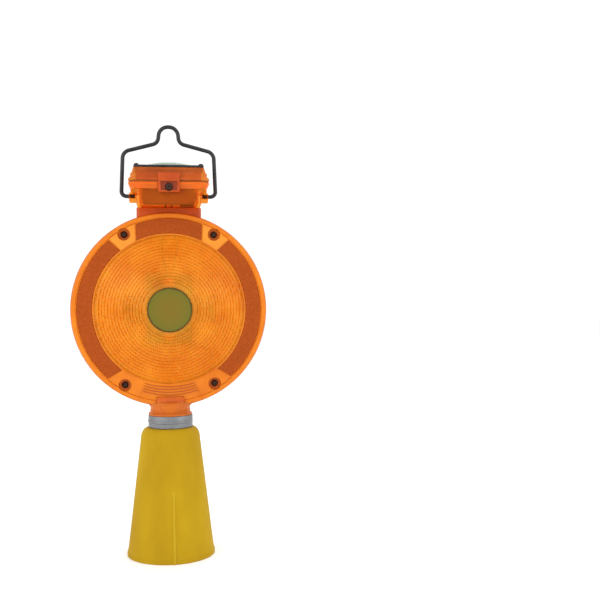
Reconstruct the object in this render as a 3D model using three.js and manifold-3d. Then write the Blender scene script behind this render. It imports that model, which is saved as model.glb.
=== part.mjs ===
// Solar warning lamp on a traffic-cone sleeve. Millimetres, +Z up, the lamp faces -Y.
// The origin is the centre of the sleeve's mouth, which the lamp stands on when it is off its cone.

import * as THREE from "three";
import { mergeVertices } from "three/addons/utils/BufferGeometryUtils.js";
import Module from "manifold-3d";

const wasm = await Module();
wasm.setup();

// ---------------------------------------------------------------- driving dimensions

const GAP = 0.3; // left between neighbouring pieces
const PAST = 1; // how far a cutting tool runs past the surface that it cuts
const EMBED = 1; // how far a joined part sinks into the part that carries it
const FAR = 500; // beyond every piece
// How many flat sides stand in for a round piece, by its size.
const LARGE = 48;
const MEDIUM = 32;
const BORE = 16;
const ROUND = 14; // when no count is given
const TINY = 12;
const HEXAGON = 6;
const SIDES = [-1, 1];

const SLEEVE = {
  mouthRadius: 42,
  shoulderRadius: 28.8,
  shoulderZ: 112,
  shoulderTopRadius: 21.3,
  topZ: 122.9,
  neckRadius: 19.5,
  neckTopZ: 134.5,
  boreRadius: 17.7,
  wall: 2.6,
  shoulderWall: 3.6,
  innerStep: 1.6, // the inside narrows by this under the shoulder
  innerDrop: 6,
  ribWidth: 2.2,
  ribHeight: 1.2,
  ribTopZ: 64,
  ribTurn: THREE.MathUtils.degToRad(4), // from straight ahead towards +X
};
const BAND = {
  innerRadius: 19.9,
  outerRadius: 21.1,
  beadRadius: 21.6,
  beadHalfHeight: 1.1,
  bottomZ: 123.3,
  topZ: 134.8,
};
const BAND_MIDDLE = (BAND.bottomZ + BAND.topZ) / 2;
const EARS = {
  gap: 3.2,
  thickness: 1.2,
  reach: 10,
  inset: 0.8,
  rootInset: 0.2,
  holeInset: 4.4,
  holeRadius: 2.3,
};
const CLAMP_SCREW = {
  headRadius: 3.4,
  headLength: 2.6,
  shankRadius: 1.9,
  tail: 4.6, // past the ear on the nut's side
  slotHalf: 0.5,
  slotDepth: 1,
};
const CLAMP_NUT = { radius: 4, thickness: 3.2, boreRadius: 2.2 };
const CLAMP_SCREW_Y = BAND.outerRadius + EARS.reach - EARS.holeInset;
const CLAMP_REACH = EARS.gap / 2 + EARS.thickness + GAP; // from the middle to an ear's outer face

const DISC = { z: 236.6, radius: 93, halfDepth: 12, wall: 2.4, bevel: 1.6 };
const DOME = {
  radius: 70.5,
  height: 15,
  seatRadius: 22.5,
  wall: 3,
  wallInset: 1,
  ringShares: [0.5, 0.76, 1], // where the profile has corners, as shares of the radius
};
const CAP = { radius: 20.2, rimRadius: 21.2, rimThickness: 1.2, thickness: 1.8 };
const REFLECTOR = { innerRadius: 73, outerRadius: 87, thickness: 1.2, recess: 1.6 };
// Start and end in degrees from +X towards +Z, measured on the inner edge, and how far each end leans.
const REFLECTORS = {
  top: [65.1, 114.9, [4.1, 4.1]],
  right: [-51.6, 50.6, [3.7, 1.4]],
  left: [129.4, 231.6, [1.4, 3.7]],
};
const CASE_SCREW = {
  circleRadius: 83.4,
  angle: THREE.MathUtils.degToRad(30.7),
  length: 14,
  shankRadius: 1.4,
  pilotRadius: 1.65,
  headRadius: 3.2,
  headTopRadius: 2,
  headHeight: 2.2,
  headEdge: 1.2,
  crossHalf: 0.45,
  crossReach: 1.7,
  crossDepth: 1.1,
};
const POCKET = { radius: 6, wall: 1.6, floorY: -6, floorThickness: 2.4, holeRadius: 1.9, bossRadius: 4.4 };

const NECK = {
  radius: 19.2,
  wall: 2.4,
  chamfer: 1,
  topZ: 155,
  lipRadius: 20.9,
  lipBottomZ: 134.9,
  lipTopZ: 136.9,
};
const NECK_EAR = { reach: 21.8, halfDepth: 8, bottomZ: 149.3, topZ: 151.5 }; // caught inside the shells
const SPIGOT = { radius: 17.3, wall: 2.4, bottomZ: 107 };
const UPPER_NECK = {
  halfWidth: 30.7,
  halfDepth: 9,
  corner: 3,
  wall: 2.4,
  rootZ: 316.6,
  topZ: 334.1,
  passageZ: 306.6, // the passage for the leads starts inside the lens
  passageCorner: 1.5,
};
const TONGUE = { halfWidth: 27.9, halfDepth: 6.2, corner: 1.5, innerCorner: 1, bottomZ: 321, wall: 2.6 };
const GROOVE = { depth: 1.2, bottomZ: 327, topZ: 330 }; // round the tongue

const CASE = { halfWidth: 30, halfDepth: 33, corner: 5, wall: 2.4, bottomZ: 334.4, topZ: 356 };
const CASE_BOSS = { radius: 3.6, length: 5.6, rise: 0.5, pilotRadius: 1.7 };
const FLANGE = { halfWidth: 37.6, halfDepth: 35.4, corner: 7, thickness: 2.2 };
const SHOULDER = { halfWidth: 34.8, halfDepth: 33, bottomZ: 349.6 }; // the case widens here to its flange
const GASKET = { thickness: 1, halfWidth: 35.6, halfDepth: 32.8, bandWidth: 4, corner: 6, innerCorner: 3 };
const LID = {
  topZ: 370.2,
  shoulderZ: 364.6,
  topHalfWidth: 32.8,
  topHalfDepth: 30,
  wall: 2.4,
  roof: 4, // thickness over the room inside
  roomCorner: 4,
};
const LID_STEP = { halfWidth: 35.6, halfDepth: 33, corner: 6 };
const LID_BASE = { halfWidth: 34.6, halfDepth: 31.6, corner: 5.5 }; // foot of the lid's sloping top
const PILLAR = { radius: 3, pilotRadius: 1.3, pilotDepth: 7 }; // under each bezel screw
const TAB = { halfWidth: 10, bottomZ: 346.4, thickness: 3.2, screwZ: 351.3 };
const TAB_POCKET = { radius: 4.1, depth: 2, holeRadius: 1.9 };
const LID_SCREW = {
  headRadius: 3.4,
  headTopRadius: 2.4,
  headHeight: 2.2,
  headEdge: 1.2,
  shankRadius: 1.4,
  length: 7.6,
  socketRadius: 1.4,
  socketDepth: 1.4,
};
const WINDOW = {
  halfWidth: 26.4,
  halfDepth: 23.6,
  corner: 6,
  apexZ: 378.4,
  flange: 1.8,
  flangeThickness: 1,
  sides: 40,
};
const BEZEL = { thickness: 1.9, corner: 5, screwX: 30, screwY: 27.2, holeRadius: 1.4 };
const BEZEL_SCREW = {
  headRadius: 2.2,
  headTopRadius: 1.5,
  headHeight: 1.2,
  headEdge: 0.6,
  shankRadius: 1,
  length: 5.5,
  slotReach: 1.6,
  slotHalf: 0.3,
  slotDepth: 0.5,
};
const PANEL = { halfWidth: 27.4, halfDepth: 24.6, corner: 1.5, thickness: 1.3 };

const CELL = {
  radius: 7.1,
  length: 49.2,
  footEdge: 0.6,
  headEdge: 0.9,
  nippleRadius: 2.7,
  nippleLength: 0.9,
  z: 344.2,
};
const CELL_YS = [-20.5, -6];
const CELL_RIB = { clearance: 2.2, halfThickness: 1.5, topZ: 347.2 };
const CONTACT = { halfThickness: 0.25, halfHeight: 5, halfDepth: 4.5, tailHalf: 1.5 };
const BOARD = { halfWidth: 22, halfDepth: 24 };
const BOARD_THICKNESS = 1.6;
const BOARD_Z = 353.4;
const CHIPS = [
  { at: [-9, -12], half: [5, 4], height: 1.8 },
  { at: [-13, 12], half: [3, 4], height: 2.4 },
];
const CAPACITORS = [
  { at: [10, -12], radius: 3.2, height: 6.4 },
  { at: [14, 6], radius: 2.4, height: 4.4 },
];
const LEAD_SLOT = { x: 8, ys: [1, 5] }; // in the charging board, for the lamp's leads
const LEAD_HOLE = { y: 4, radius: 3 }; // in the lid, for the panel's leads
const CABLE_SIDES = 3; // per half turn
const LEAD = { spacing: 3, entryY: 2.3, radius: 0.8, spread: 2.4, steps: 12 };
const PANEL_LEAD = {
  radius: 0.6,
  topX: 1.2,
  footX: 5,
  footY: 12,
  bow: 3,
  clearance: 0.9, // under the panel
  steps: 6,
};
const SWITCH = {
  x: 18,
  z: 342.8,
  halfWidth: 6.5,
  halfHeight: 5.8,
  bodyYs: [23, 30.2],
  bushRadius: 5.4,
  boreRadius: 4.6,
  bushEndY: 36.2,
  nutRadius: 7.6,
  nutThickness: 2,
};
const PIN = { x: 3, halfWidth: 0.8, length: 1.1, zs: [1, 2] };
const BUTTON = { radius: 4.3, startY: 32.2, endY: 38.6, edge: 0.9, crown: 2.1, crownDepth: 0.4 };

const HANDLE = { wireRadius: 1.9, pivotZ: 345.5, endX: 31.9, steps: 84, sides: 4 }; // sides per half turn
// Corners of the right half of the handle's wire: distance from the middle, height over the pivot,
// and the radius that the wire is bent to.
const HANDLE_BENDS = [
  [45.1, 0, 4.8],
  [43.4, 42.6, 8],
  [10.2, 51.3, 7],
  [8.4, 67, 9.2],
];
const LUG = {
  outerX: 37.7,
  innerX: 29,
  halfDepth: 6,
  bottomZ: 339.5,
  topZ: 348.8,
  boreRadius: 2.2,
  webInset: 1.4,
  webShort: 1,
};
const LUG_WINDOW = { x: 34.6, radius: 2.3 };

const CARRIER = { halfWidth: 25, halfHeight: 36.5, halfDepth: 4, backY: 3, rim: 3.6, ledge: 1, ledgeY: 1.2 };
const CARRIER_ARM = { reach: 45, halfHeight: 13, holeRadius: 1.6 };
const CARRIER_SCREW = {
  headRadius: 2.6,
  headTopRadius: 1.8,
  headHeight: 2.1,
  headEdge: 1.2,
  shankRadius: 1,
  length: 11,
};
const LED = {
  radius: 5,
  length: 8.6,
  offset: 25.6,
  collar: 0.7,
  collarThickness: 1,
  domeShares: [0.95, 0.75, 0.4], // where the rounded tip has corners, as shares of the radius
};
const POST = { x: 40, radius: 3.6, pilotRadius: 1.3, pilotEndY: 14 };

// ---------------------------------------------------------------- materials

const finish = (color, roughness, metalness = 0, more = {}) =>
  new THREE.MeshStandardMaterial({ color, roughness, metalness, ...more });

const amber = finish(0xf27a12, 0.22, 0, { transparent: true, opacity: 0.85 });
const reflectorAmber = finish(0xb4501e, 0.35);
const olive = finish(0x84752c, 0.55);
const yellow = finish(0xd0a81c, 0.5);
const zinc = finish(0x9aa2ac, 0.4, 0.8);
const blackSteel = finish(0x333333, 0.5, 0.4);
const darkScrew = finish(0x3a3230, 0.4, 0.7);
const blackPlastic = finish(0x1f2226, 0.5);
const rubber = finish(0x4a3420, 0.8);
const clear = finish(0xb4c4b4, 0.08, 0, { transparent: true, opacity: 0.4 });
const silicon = finish(0x16243c, 0.25);
const circuitGreen = finish(0x2c5c34, 0.5);
const cellSleeve = finish(0x6a5c50, 0.45);
const nickel = finish(0xb8b4a8, 0.3, 0.9);
const carrierWhite = finish(0xd8d0c0, 0.5);
const ledClear = finish(0xf0a040, 0.15);
const red = finish(0xa81c18, 0.5);
const black = finish(0x202020, 0.5);

// ---------------------------------------------------------------- solids

// A closed geometry as a solid that can be cut and joined.
function solidOf(geometry) {
  const bare = geometry.index ? geometry.toNonIndexed() : geometry.clone();
  bare.deleteAttribute("normal");
  bare.deleteAttribute("uv");
  const merged = mergeVertices(bare, 1e-4);
  return new wasm.Manifold(
    new wasm.Mesh({
      numProp: 3,
      vertProperties: merged.attributes.position.array,
      triVerts: new Uint32Array(merged.index.array),
    }),
  );
}

function geometryOf(solid) {
  const { numProp, numVert, vertProperties, triVerts } = solid.getMesh();
  const positions = new Float32Array(numVert * 3);
  for (let i = 0; i < numVert; i++) {
    positions.set(vertProperties.subarray(i * numProp, i * numProp + 3), i * 3);
  }
  const geometry = new THREE.BufferGeometry();
  geometry.setAttribute("position", new THREE.BufferAttribute(positions, 3));
  geometry.setIndex(new THREE.BufferAttribute(triVerts, 1));
  const flat = geometry.toNonIndexed();
  flat.computeVertexNormals();
  return flat;
}

const join = (first, ...others) => others.reduce((sum, other) => sum.add(other), first);
const cut = (first, ...others) => others.reduce((rest, other) => rest.subtract(other), first);

// The span between two distances from the middle, on one side of it (side is -1 or 1), low end first.
const across = (side, near, far) => (side > 0 ? [near, far] : [-far, -near]);

function block([x0, x1], [y0, y1], [z0, z1]) {
  const box = new THREE.BoxGeometry(x1 - x0, y1 - y0, z1 - z0);
  return solidOf(box.translate((x0 + x1) / 2, (y0 + y1) / 2, (z0 + z1) / 2));
}

// A straight rod between two heights on one axis, through the point that the other two axes give.
function rod(axis, radius, [from, to], [u, v], sides = ROUND) {
  const cylinder = new THREE.CylinderGeometry(radius, radius, to - from, sides);
  const middle = (from + to) / 2;
  if (axis === "x") return solidOf(cylinder.rotateZ(-Math.PI / 2).translate(middle, u, v));
  if (axis === "y") return solidOf(cylinder.translate(u, middle, v));
  return solidOf(cylinder.rotateX(Math.PI / 2).translate(u, v, middle));
}

// Turned pieces. A profile of [radius, height] pairs runs up the outside and down the inside.
const lathe = (profile, sides) =>
  new THREE.LatheGeometry(profile.map(([r, h]) => new THREE.Vector2(r, h)), sides);
const turnedY = (profile, sides = ROUND) => solidOf(lathe(profile, sides));
const turnedZ = (profile, sides = ROUND) => solidOf(lathe(profile, sides).rotateX(Math.PI / 2));
const turnedX = (profile, sides = ROUND) => solidOf(lathe(profile, sides).rotateZ(-Math.PI / 2));
const closed = (profile) => [...profile, profile[0]];

function roundedRectangle(halfWidth, halfDepth, corner) {
  const shape = new THREE.Shape();
  const w = halfWidth - corner;
  const d = halfDepth - corner;
  shape.absarc(w, d, corner, 0, Math.PI / 2);
  shape.absarc(-w, d, corner, Math.PI / 2, Math.PI);
  shape.absarc(-w, -d, corner, Math.PI, 1.5 * Math.PI);
  shape.absarc(w, -d, corner, 1.5 * Math.PI, 2 * Math.PI);
  return shape;
}

// A rounded slab between two heights. topScale narrows its upper end to a share of the lower one.
function slab(halfWidth, halfDepth, corner, [z0, z1], topScale = [1, 1]) {
  const outline = roundedRectangle(halfWidth, halfDepth, corner);
  const options = { depth: z1 - z0, bevelEnabled: false, curveSegments: 3 };
  const geometry = new THREE.ExtrudeGeometry(outline, options);
  const position = geometry.getAttribute("position");
  for (let i = 0; i < position.count; i++) {
    if (position.getZ(i) > (z1 - z0) / 2) {
      position.setXY(i, position.getX(i) * topScale[0], position.getY(i) * topScale[1]);
    }
  }
  return solidOf(geometry.translate(0, 0, z0));
}

// An outline drawn in the XZ plane, as thick as the two depths along Y are apart.
function plate(outline, [y0, y1], curveSegments = 8) {
  const options = { depth: y1 - y0, bevelEnabled: false, curveSegments };
  return solidOf(new THREE.ExtrudeGeometry(outline, options).rotateX(Math.PI / 2).translate(0, y1, 0));
}

function mesh(name, solid, material) {
  const made = new THREE.Mesh(geometryOf(solid), material);
  made.name = name;
  return made;
}

function placed(object, x, y, z, rotation = [0, 0, 0]) {
  object.position.set(x, y, z);
  object.rotation.set(...rotation);
  return object;
}

function assembly(...members) {
  const group = new THREE.Group();
  group.add(...members);
  return group;
}

const HALF_TURN = [0, 0, Math.PI]; // turns a front piece into its rear twin
const FLAT_UP = [0, Math.PI / 6, 0]; // turns a hexagon from a corner at its top to a flat

// ---------------------------------------------------------------- cone sleeve and clamp

function sleeve() {
  const s = SLEEVE;
  const steps = 4;
  const arc = Array.from({ length: steps + 1 }, (_, i) => {
    const turn = ((i / steps) * Math.PI) / 2;
    return [
      s.shoulderTopRadius + (s.shoulderRadius - s.shoulderTopRadius) * Math.cos(turn),
      s.shoulderZ + (s.topZ - s.shoulderZ) * Math.sin(turn),
    ];
  });
  const outside = [[s.mouthRadius - s.wall, 0], [s.mouthRadius, 0], ...arc];
  const neck = [
    [s.neckRadius, s.topZ],
    [s.neckRadius, s.neckTopZ],
    [s.boreRadius, s.neckTopZ],
    [s.boreRadius, s.topZ - s.shoulderWall],
  ];
  const inside = [
    [s.shoulderRadius - s.wall - s.innerStep, s.shoulderZ],
    [s.shoulderRadius - s.wall, s.shoulderZ - s.innerDrop],
  ];
  const body = turnedZ(closed([...outside, ...neck, ...inside]), LARGE);
  const root = s.wall / 2; // how deep the rib is rooted in the wall
  const rib = new THREE.Shape([
    new THREE.Vector2(s.mouthRadius - root, 0),
    new THREE.Vector2(s.mouthRadius + s.ribHeight, 0),
    new THREE.Vector2(ribRadiusAt(s.ribTopZ), s.ribTopZ),
    new THREE.Vector2(ribRadiusAt(s.ribTopZ) - s.ribHeight - root, s.ribTopZ),
  ]);
  const ribGeometry = new THREE.ExtrudeGeometry(rib, { depth: s.ribWidth, bevelEnabled: false });
  ribGeometry.translate(0, 0, -s.ribWidth / 2).rotateX(Math.PI / 2);
  const ribs = SIDES.map((side) =>
    solidOf(ribGeometry.clone().rotateZ((side * Math.PI) / 2 + s.ribTurn)),
  );
  return join(body, ...ribs);
}

// How far the crest of the sleeve's moulded rib stands from the axis at a height.
function ribRadiusAt(z) {
  const s = SLEEVE;
  return s.mouthRadius - ((s.mouthRadius - s.shoulderRadius) * z) / s.shoulderZ + s.ribHeight;
}

function clampBand() {
  const b = BAND;
  const ring = turnedZ(
    closed([
      [b.innerRadius, b.bottomZ],
      [b.outerRadius, b.bottomZ],
      [b.outerRadius, BAND_MIDDLE - b.beadHalfHeight],
      [b.beadRadius, BAND_MIDDLE],
      [b.outerRadius, BAND_MIDDLE + b.beadHalfHeight],
      [b.outerRadius, b.topZ],
      [b.innerRadius, b.topZ],
    ]),
    MEDIUM,
  );
  const half = EARS.gap / 2;
  const slit = block([-half, half], [0, b.beadRadius + PAST], [b.bottomZ - PAST, b.topZ + PAST]);
  const earYs = [b.innerRadius + EARS.rootInset, b.outerRadius + EARS.reach];
  const earZs = [b.bottomZ + EARS.inset, b.topZ - EARS.inset];
  const ears = SIDES.map((side) => block(across(side, half, half + EARS.thickness), earYs, earZs));
  const holeReach = half + EARS.thickness + PAST;
  const hole = rod("x", EARS.holeRadius, [-holeReach, holeReach], [CLAMP_SCREW_Y, BAND_MIDDLE]);
  return cut(join(cut(ring, slit), ...ears), hole);
}

function clampScrew() {
  const s = CLAMP_SCREW;
  const top = CLAMP_REACH + s.headLength;
  const head = rod("x", s.headRadius, [CLAMP_REACH, top], [0, 0]);
  const shank = rod("x", s.shankRadius, [-CLAMP_REACH - s.tail, CLAMP_REACH + PAST], [0, 0], TINY);
  const reach = s.headRadius + PAST;
  const slot = block([top - s.slotDepth, top + PAST], [-s.slotHalf, s.slotHalf], [-reach, reach]);
  return cut(join(head, shank), slot);
}

function clampNut() {
  const n = CLAMP_NUT;
  const body = rod("x", n.radius, [-CLAMP_REACH - n.thickness, -CLAMP_REACH], [0, 0], HEXAGON);
  return cut(body, rod("x", n.boreRadius, [-CLAMP_REACH - n.thickness - PAST, 0], [0, 0], TINY));
}

// ---------------------------------------------------------------- lamp shells

const DOME_SPHERE = (DOME.radius ** 2 + DOME.height ** 2) / (2 * DOME.height);

// Depth of the dome's outer surface at a radius, measured from the parting plane.
function domeDepth(radius) {
  const drop = DOME_SPHERE - Math.sqrt(DOME_SPHERE ** 2 - radius ** 2);
  return DISC.halfDepth + DOME.height - drop;
}

const SEAT_DEPTH = domeDepth(DOME.seatRadius);

// One dished lens with its rim wall, its face towards -Y.
function dish() {
  const d = DISC;
  const rings = DOME.ringShares.map((share) => DOME.radius * share);
  const outside = [
    [0, -SEAT_DEPTH],
    [DOME.seatRadius, -SEAT_DEPTH],
    ...rings.map((r) => [r, -domeDepth(r)]),
    [d.radius - d.bevel, -d.halfDepth],
    [d.radius, -d.halfDepth + d.bevel],
    [d.radius, 0],
  ];
  const inside = [
    [d.radius - d.wall, 0],
    [d.radius - d.wall, -d.halfDepth + DOME.wall],
    ...rings.reverse().map((r) => [r - DOME.wallInset, -domeDepth(r) + DOME.wall]),
    [DOME.seatRadius, -SEAT_DEPTH + d.wall],
    [0, -SEAT_DEPTH + d.wall],
  ];
  return turnedY([...outside, ...inside], LARGE);
}

// Where the case screws stand, in the order of their numbers.
const SCREW_CORNERS = [[-1, 1], [1, 1], [1, -1], [-1, -1]].map(([sx, sz]) => [
  sx * CASE_SCREW.circleRadius * Math.sin(CASE_SCREW.angle),
  sz * CASE_SCREW.circleRadius * Math.cos(CASE_SCREW.angle),
]);

// A reflector's outline. Its ends lean, so that the pads around the screws widen towards the rim.
function reflectorOutline(start, end, lean, grow = 0) {
  const inner = REFLECTOR.innerRadius - grow;
  const outer = REFLECTOR.outerRadius + grow;
  const [startLean, endLean] = lean.map(THREE.MathUtils.degToRad);
  const spread = grow / outer;
  const from = THREE.MathUtils.degToRad(start) - spread;
  const to = THREE.MathUtils.degToRad(end) + spread;
  const shape = new THREE.Shape();
  shape.absarc(0, 0, outer, from + startLean, to - endLean, false);
  shape.absarc(0, 0, inner, to, from, true);
  return shape;
}

function reflectorPockets() {
  const ys = [-DISC.halfDepth - PAST, -DISC.halfDepth + REFLECTOR.recess];
  return Object.values(REFLECTORS).map(([start, end, lean]) =>
    plate(reflectorOutline(start, end, lean, GAP), ys),
  );
}

// The round socket under the lens. It is closed at its top, and its spigot goes into the sleeve's neck.
function neckSocket() {
  const n = NECK;
  const boreRadius = n.radius - n.wall;
  const spigotBore = SPIGOT.radius - SPIGOT.wall;
  const body = turnedZ(
    closed([
      [spigotBore, SPIGOT.bottomZ],
      [SPIGOT.radius, SPIGOT.bottomZ],
      [SPIGOT.radius, n.lipBottomZ],
      [n.lipRadius, n.lipBottomZ],
      [n.lipRadius, n.lipTopZ],
      [n.radius, n.lipTopZ],
      [n.radius, n.topZ - n.chamfer],
      [n.radius - n.chamfer, n.topZ],
      [0, n.topZ],
      [0, n.topZ - n.wall],
      [boreRadius, n.topZ - n.wall],
      [boreRadius, n.lipTopZ],
      [spigotBore, n.lipTopZ],
    ]),
    MEDIUM,
  );
  const { reach, halfDepth, bottomZ, topZ } = NECK_EAR;
  const bar = block([-reach, reach], [-halfDepth, halfDepth], [bottomZ, topZ]);
  const middle = rod("z", n.radius - EMBED, [bottomZ - PAST, topZ + PAST], [0, 0], MEDIUM);
  return join(body, cut(bar, middle));
}

// The flat neck that carries the battery case, before the shells are parted.
function upperNeck() {
  const u = UPPER_NECK;
  return slab(u.halfWidth, u.halfDepth, u.corner, [u.rootZ, u.topZ]);
}

function neckPassage() {
  const u = UPPER_NECK;
  return slab(u.halfWidth - u.wall, u.halfDepth - u.wall, u.passageCorner, [u.passageZ, u.topZ + PAST]);
}

// The rib inside the upper neck that keys into the battery case's tongue.
function neckKey() {
  const u = UPPER_NECK;
  const z = [GROOVE.bottomZ + GAP, GROOVE.topZ - GAP];
  const outer = slab(u.halfWidth - EMBED, u.halfDepth - EMBED, u.passageCorner, z);
  const inset = GROOVE.depth - GAP;
  const through = [z[0] - PAST, z[1] + PAST];
  const inner = slab(TONGUE.halfWidth - inset, TONGUE.halfDepth - inset, TONGUE.innerCorner, through);
  return cut(outer, inner);
}

// A rod at each case screw.
const atScrews = (radius, ys) => SCREW_CORNERS.map(([x, z]) => rod("y", radius, ys, [x, z]));

function frontShell() {
  const face = -DISC.halfDepth;
  const { radius, wall, floorY, floorThickness, holeRadius } = POCKET;
  const disc = cut(
    join(dish(), ...atScrews(radius + wall, [face + EMBED, floorY + floorThickness])),
    ...atScrews(radius, [face - PAST, floorY]),
    ...atScrews(holeRadius, [floorY - PAST, PAST]),
    ...reflectorPockets(),
  );
  return parted(disc.translate([0, 0, DISC.z]), [-FAR, -GAP / 2]);
}

function rearShell() {
  const inner = DISC.halfDepth;
  const postEnd = domeDepth(POST.x + POST.radius) - DOME.wall / 2; // inside the dome's wall
  const atPosts = (radius, ys) => [-POST.x, POST.x].map((x) => rod("y", radius, ys, [x, 0]));
  const disc = cut(
    join(
      turnedHalf(dish()),
      ...atScrews(POCKET.bossRadius, [GAP / 2, inner - EMBED]),
      ...atPosts(POST.radius, [CARRIER.backY + GAP, postEnd]),
    ),
    ...atScrews(CASE_SCREW.pilotRadius, [-PAST, inner - DOME.wall]),
    ...atPosts(POST.pilotRadius, [0, POST.pilotEndY]),
    ...reflectorPockets().map(turnedHalf),
  );
  return parted(disc.translate([0, 0, DISC.z]), [GAP / 2, FAR]);
}

const turnedHalf = (solid) => solid.rotate([0, 0, 180]);

// Adds the upper neck to a lens half, and keeps what lies on its own side of the parting plane.
function parted(disc, ys) {
  const socketZs = [DISC.z - DISC.radius - PAST, NECK.topZ + GAP];
  const socket = rod("z", NECK.radius + GAP, socketZs, [0, 0], MEDIUM);
  const side = block([-FAR, FAR], ys, [0, FAR]);
  return join(cut(join(disc, upperNeck()), neckPassage(), socket), neckKey()).intersect(side);
}

function caseScrew() {
  const s = CASE_SCREW;
  const head = turnedY([
    [0, -s.headHeight],
    [s.headTopRadius, -s.headHeight],
    [s.headRadius, -s.headEdge],
    [s.headRadius, 0],
    [s.shankRadius, 0],
    [s.shankRadius, s.length],
    [0, s.length],
  ]);
  const depths = [-s.headHeight - PAST, -s.headHeight + s.crossDepth];
  const reach = [-s.crossReach, s.crossReach];
  const half = [-s.crossHalf, s.crossHalf];
  return cut(head, block(half, depths, reach), block(reach, depths, half));
}

function centreCap() {
  const face = -SEAT_DEPTH - GAP;
  return turnedY([
    [0, face - CAP.thickness],
    [CAP.radius, face - CAP.thickness],
    [CAP.radius, face - CAP.rimThickness],
    [CAP.rimRadius, face - CAP.rimThickness],
    [CAP.rimRadius, face],
    [0, face],
  ], MEDIUM);
}

const reflector = ([start, end, lean]) =>
  plate(reflectorOutline(start, end, lean), [
    -DISC.halfDepth + REFLECTOR.recess - GAP - REFLECTOR.thickness,
    -DISC.halfDepth + REFLECTOR.recess - GAP,
  ]);

// ---------------------------------------------------------------- light engine inside the lens

function ledCarrier() {
  const c = CARRIER;
  const upright = (inset, ys) => {
    const halfWidth = c.halfWidth - inset;
    const halfHeight = c.halfHeight - inset;
    return block([-halfWidth, halfWidth], ys, [-halfHeight, halfHeight]);
  };
  const depths = [-c.halfDepth, c.halfDepth];
  const through = [-c.halfDepth - PAST, c.halfDepth + PAST];
  const frame = cut(upright(0, depths), upright(c.rim, through));
  const arms = SIDES.map((side) => {
    const { reach, halfHeight, holeRadius } = CARRIER_ARM;
    const xs = across(side, c.halfWidth - EMBED, reach);
    const whole = block(xs, [0, c.backY], [-halfHeight, halfHeight]);
    return cut(whole, rod("y", holeRadius, [-PAST, c.backY + PAST], [side * POST.x, 0], TINY));
  });
  const ledge = cut(upright(EMBED, [c.ledgeY, c.halfDepth]), upright(c.rim + c.ledge, through));
  return join(frame, ...arms, ledge);
}

function ledBoard() {
  const w = CARRIER.halfWidth - CARRIER.rim - GAP;
  const h = CARRIER.halfHeight - CARRIER.rim - GAP;
  return block([-w, w], [-BOARD_THICKNESS / 2, BOARD_THICKNESS / 2], [-h, h]);
}

function led() {
  const { radius, collar, collarThickness } = LED;
  const start = -BOARD_THICKNESS / 2 - GAP;
  const end = start - LED.length;
  const dome = LED.domeShares.map((share) => [
    radius * Math.sqrt(1 - share ** 2),
    end + radius * (1 - share),
  ]);
  return turnedY([
    [0, end],
    ...dome,
    [radius, end + radius],
    [radius, start - collarThickness],
    [radius + collar, start - collarThickness],
    [radius + collar, start],
    [0, start],
  ]);
}

function carrierScrew() {
  const s = CARRIER_SCREW;
  return turnedY([
    [0, -s.headHeight],
    [s.headTopRadius, -s.headHeight],
    [s.headRadius, -s.headEdge],
    [s.headRadius, -GAP],
    [s.shankRadius, -GAP],
    [s.shankRadius, s.length],
    [0, s.length],
  ], TINY);
}

// ---------------------------------------------------------------- battery case and lid

const flangeSlab = (zs) => slab(FLANGE.halfWidth, FLANGE.halfDepth, FLANGE.corner, zs);

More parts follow.
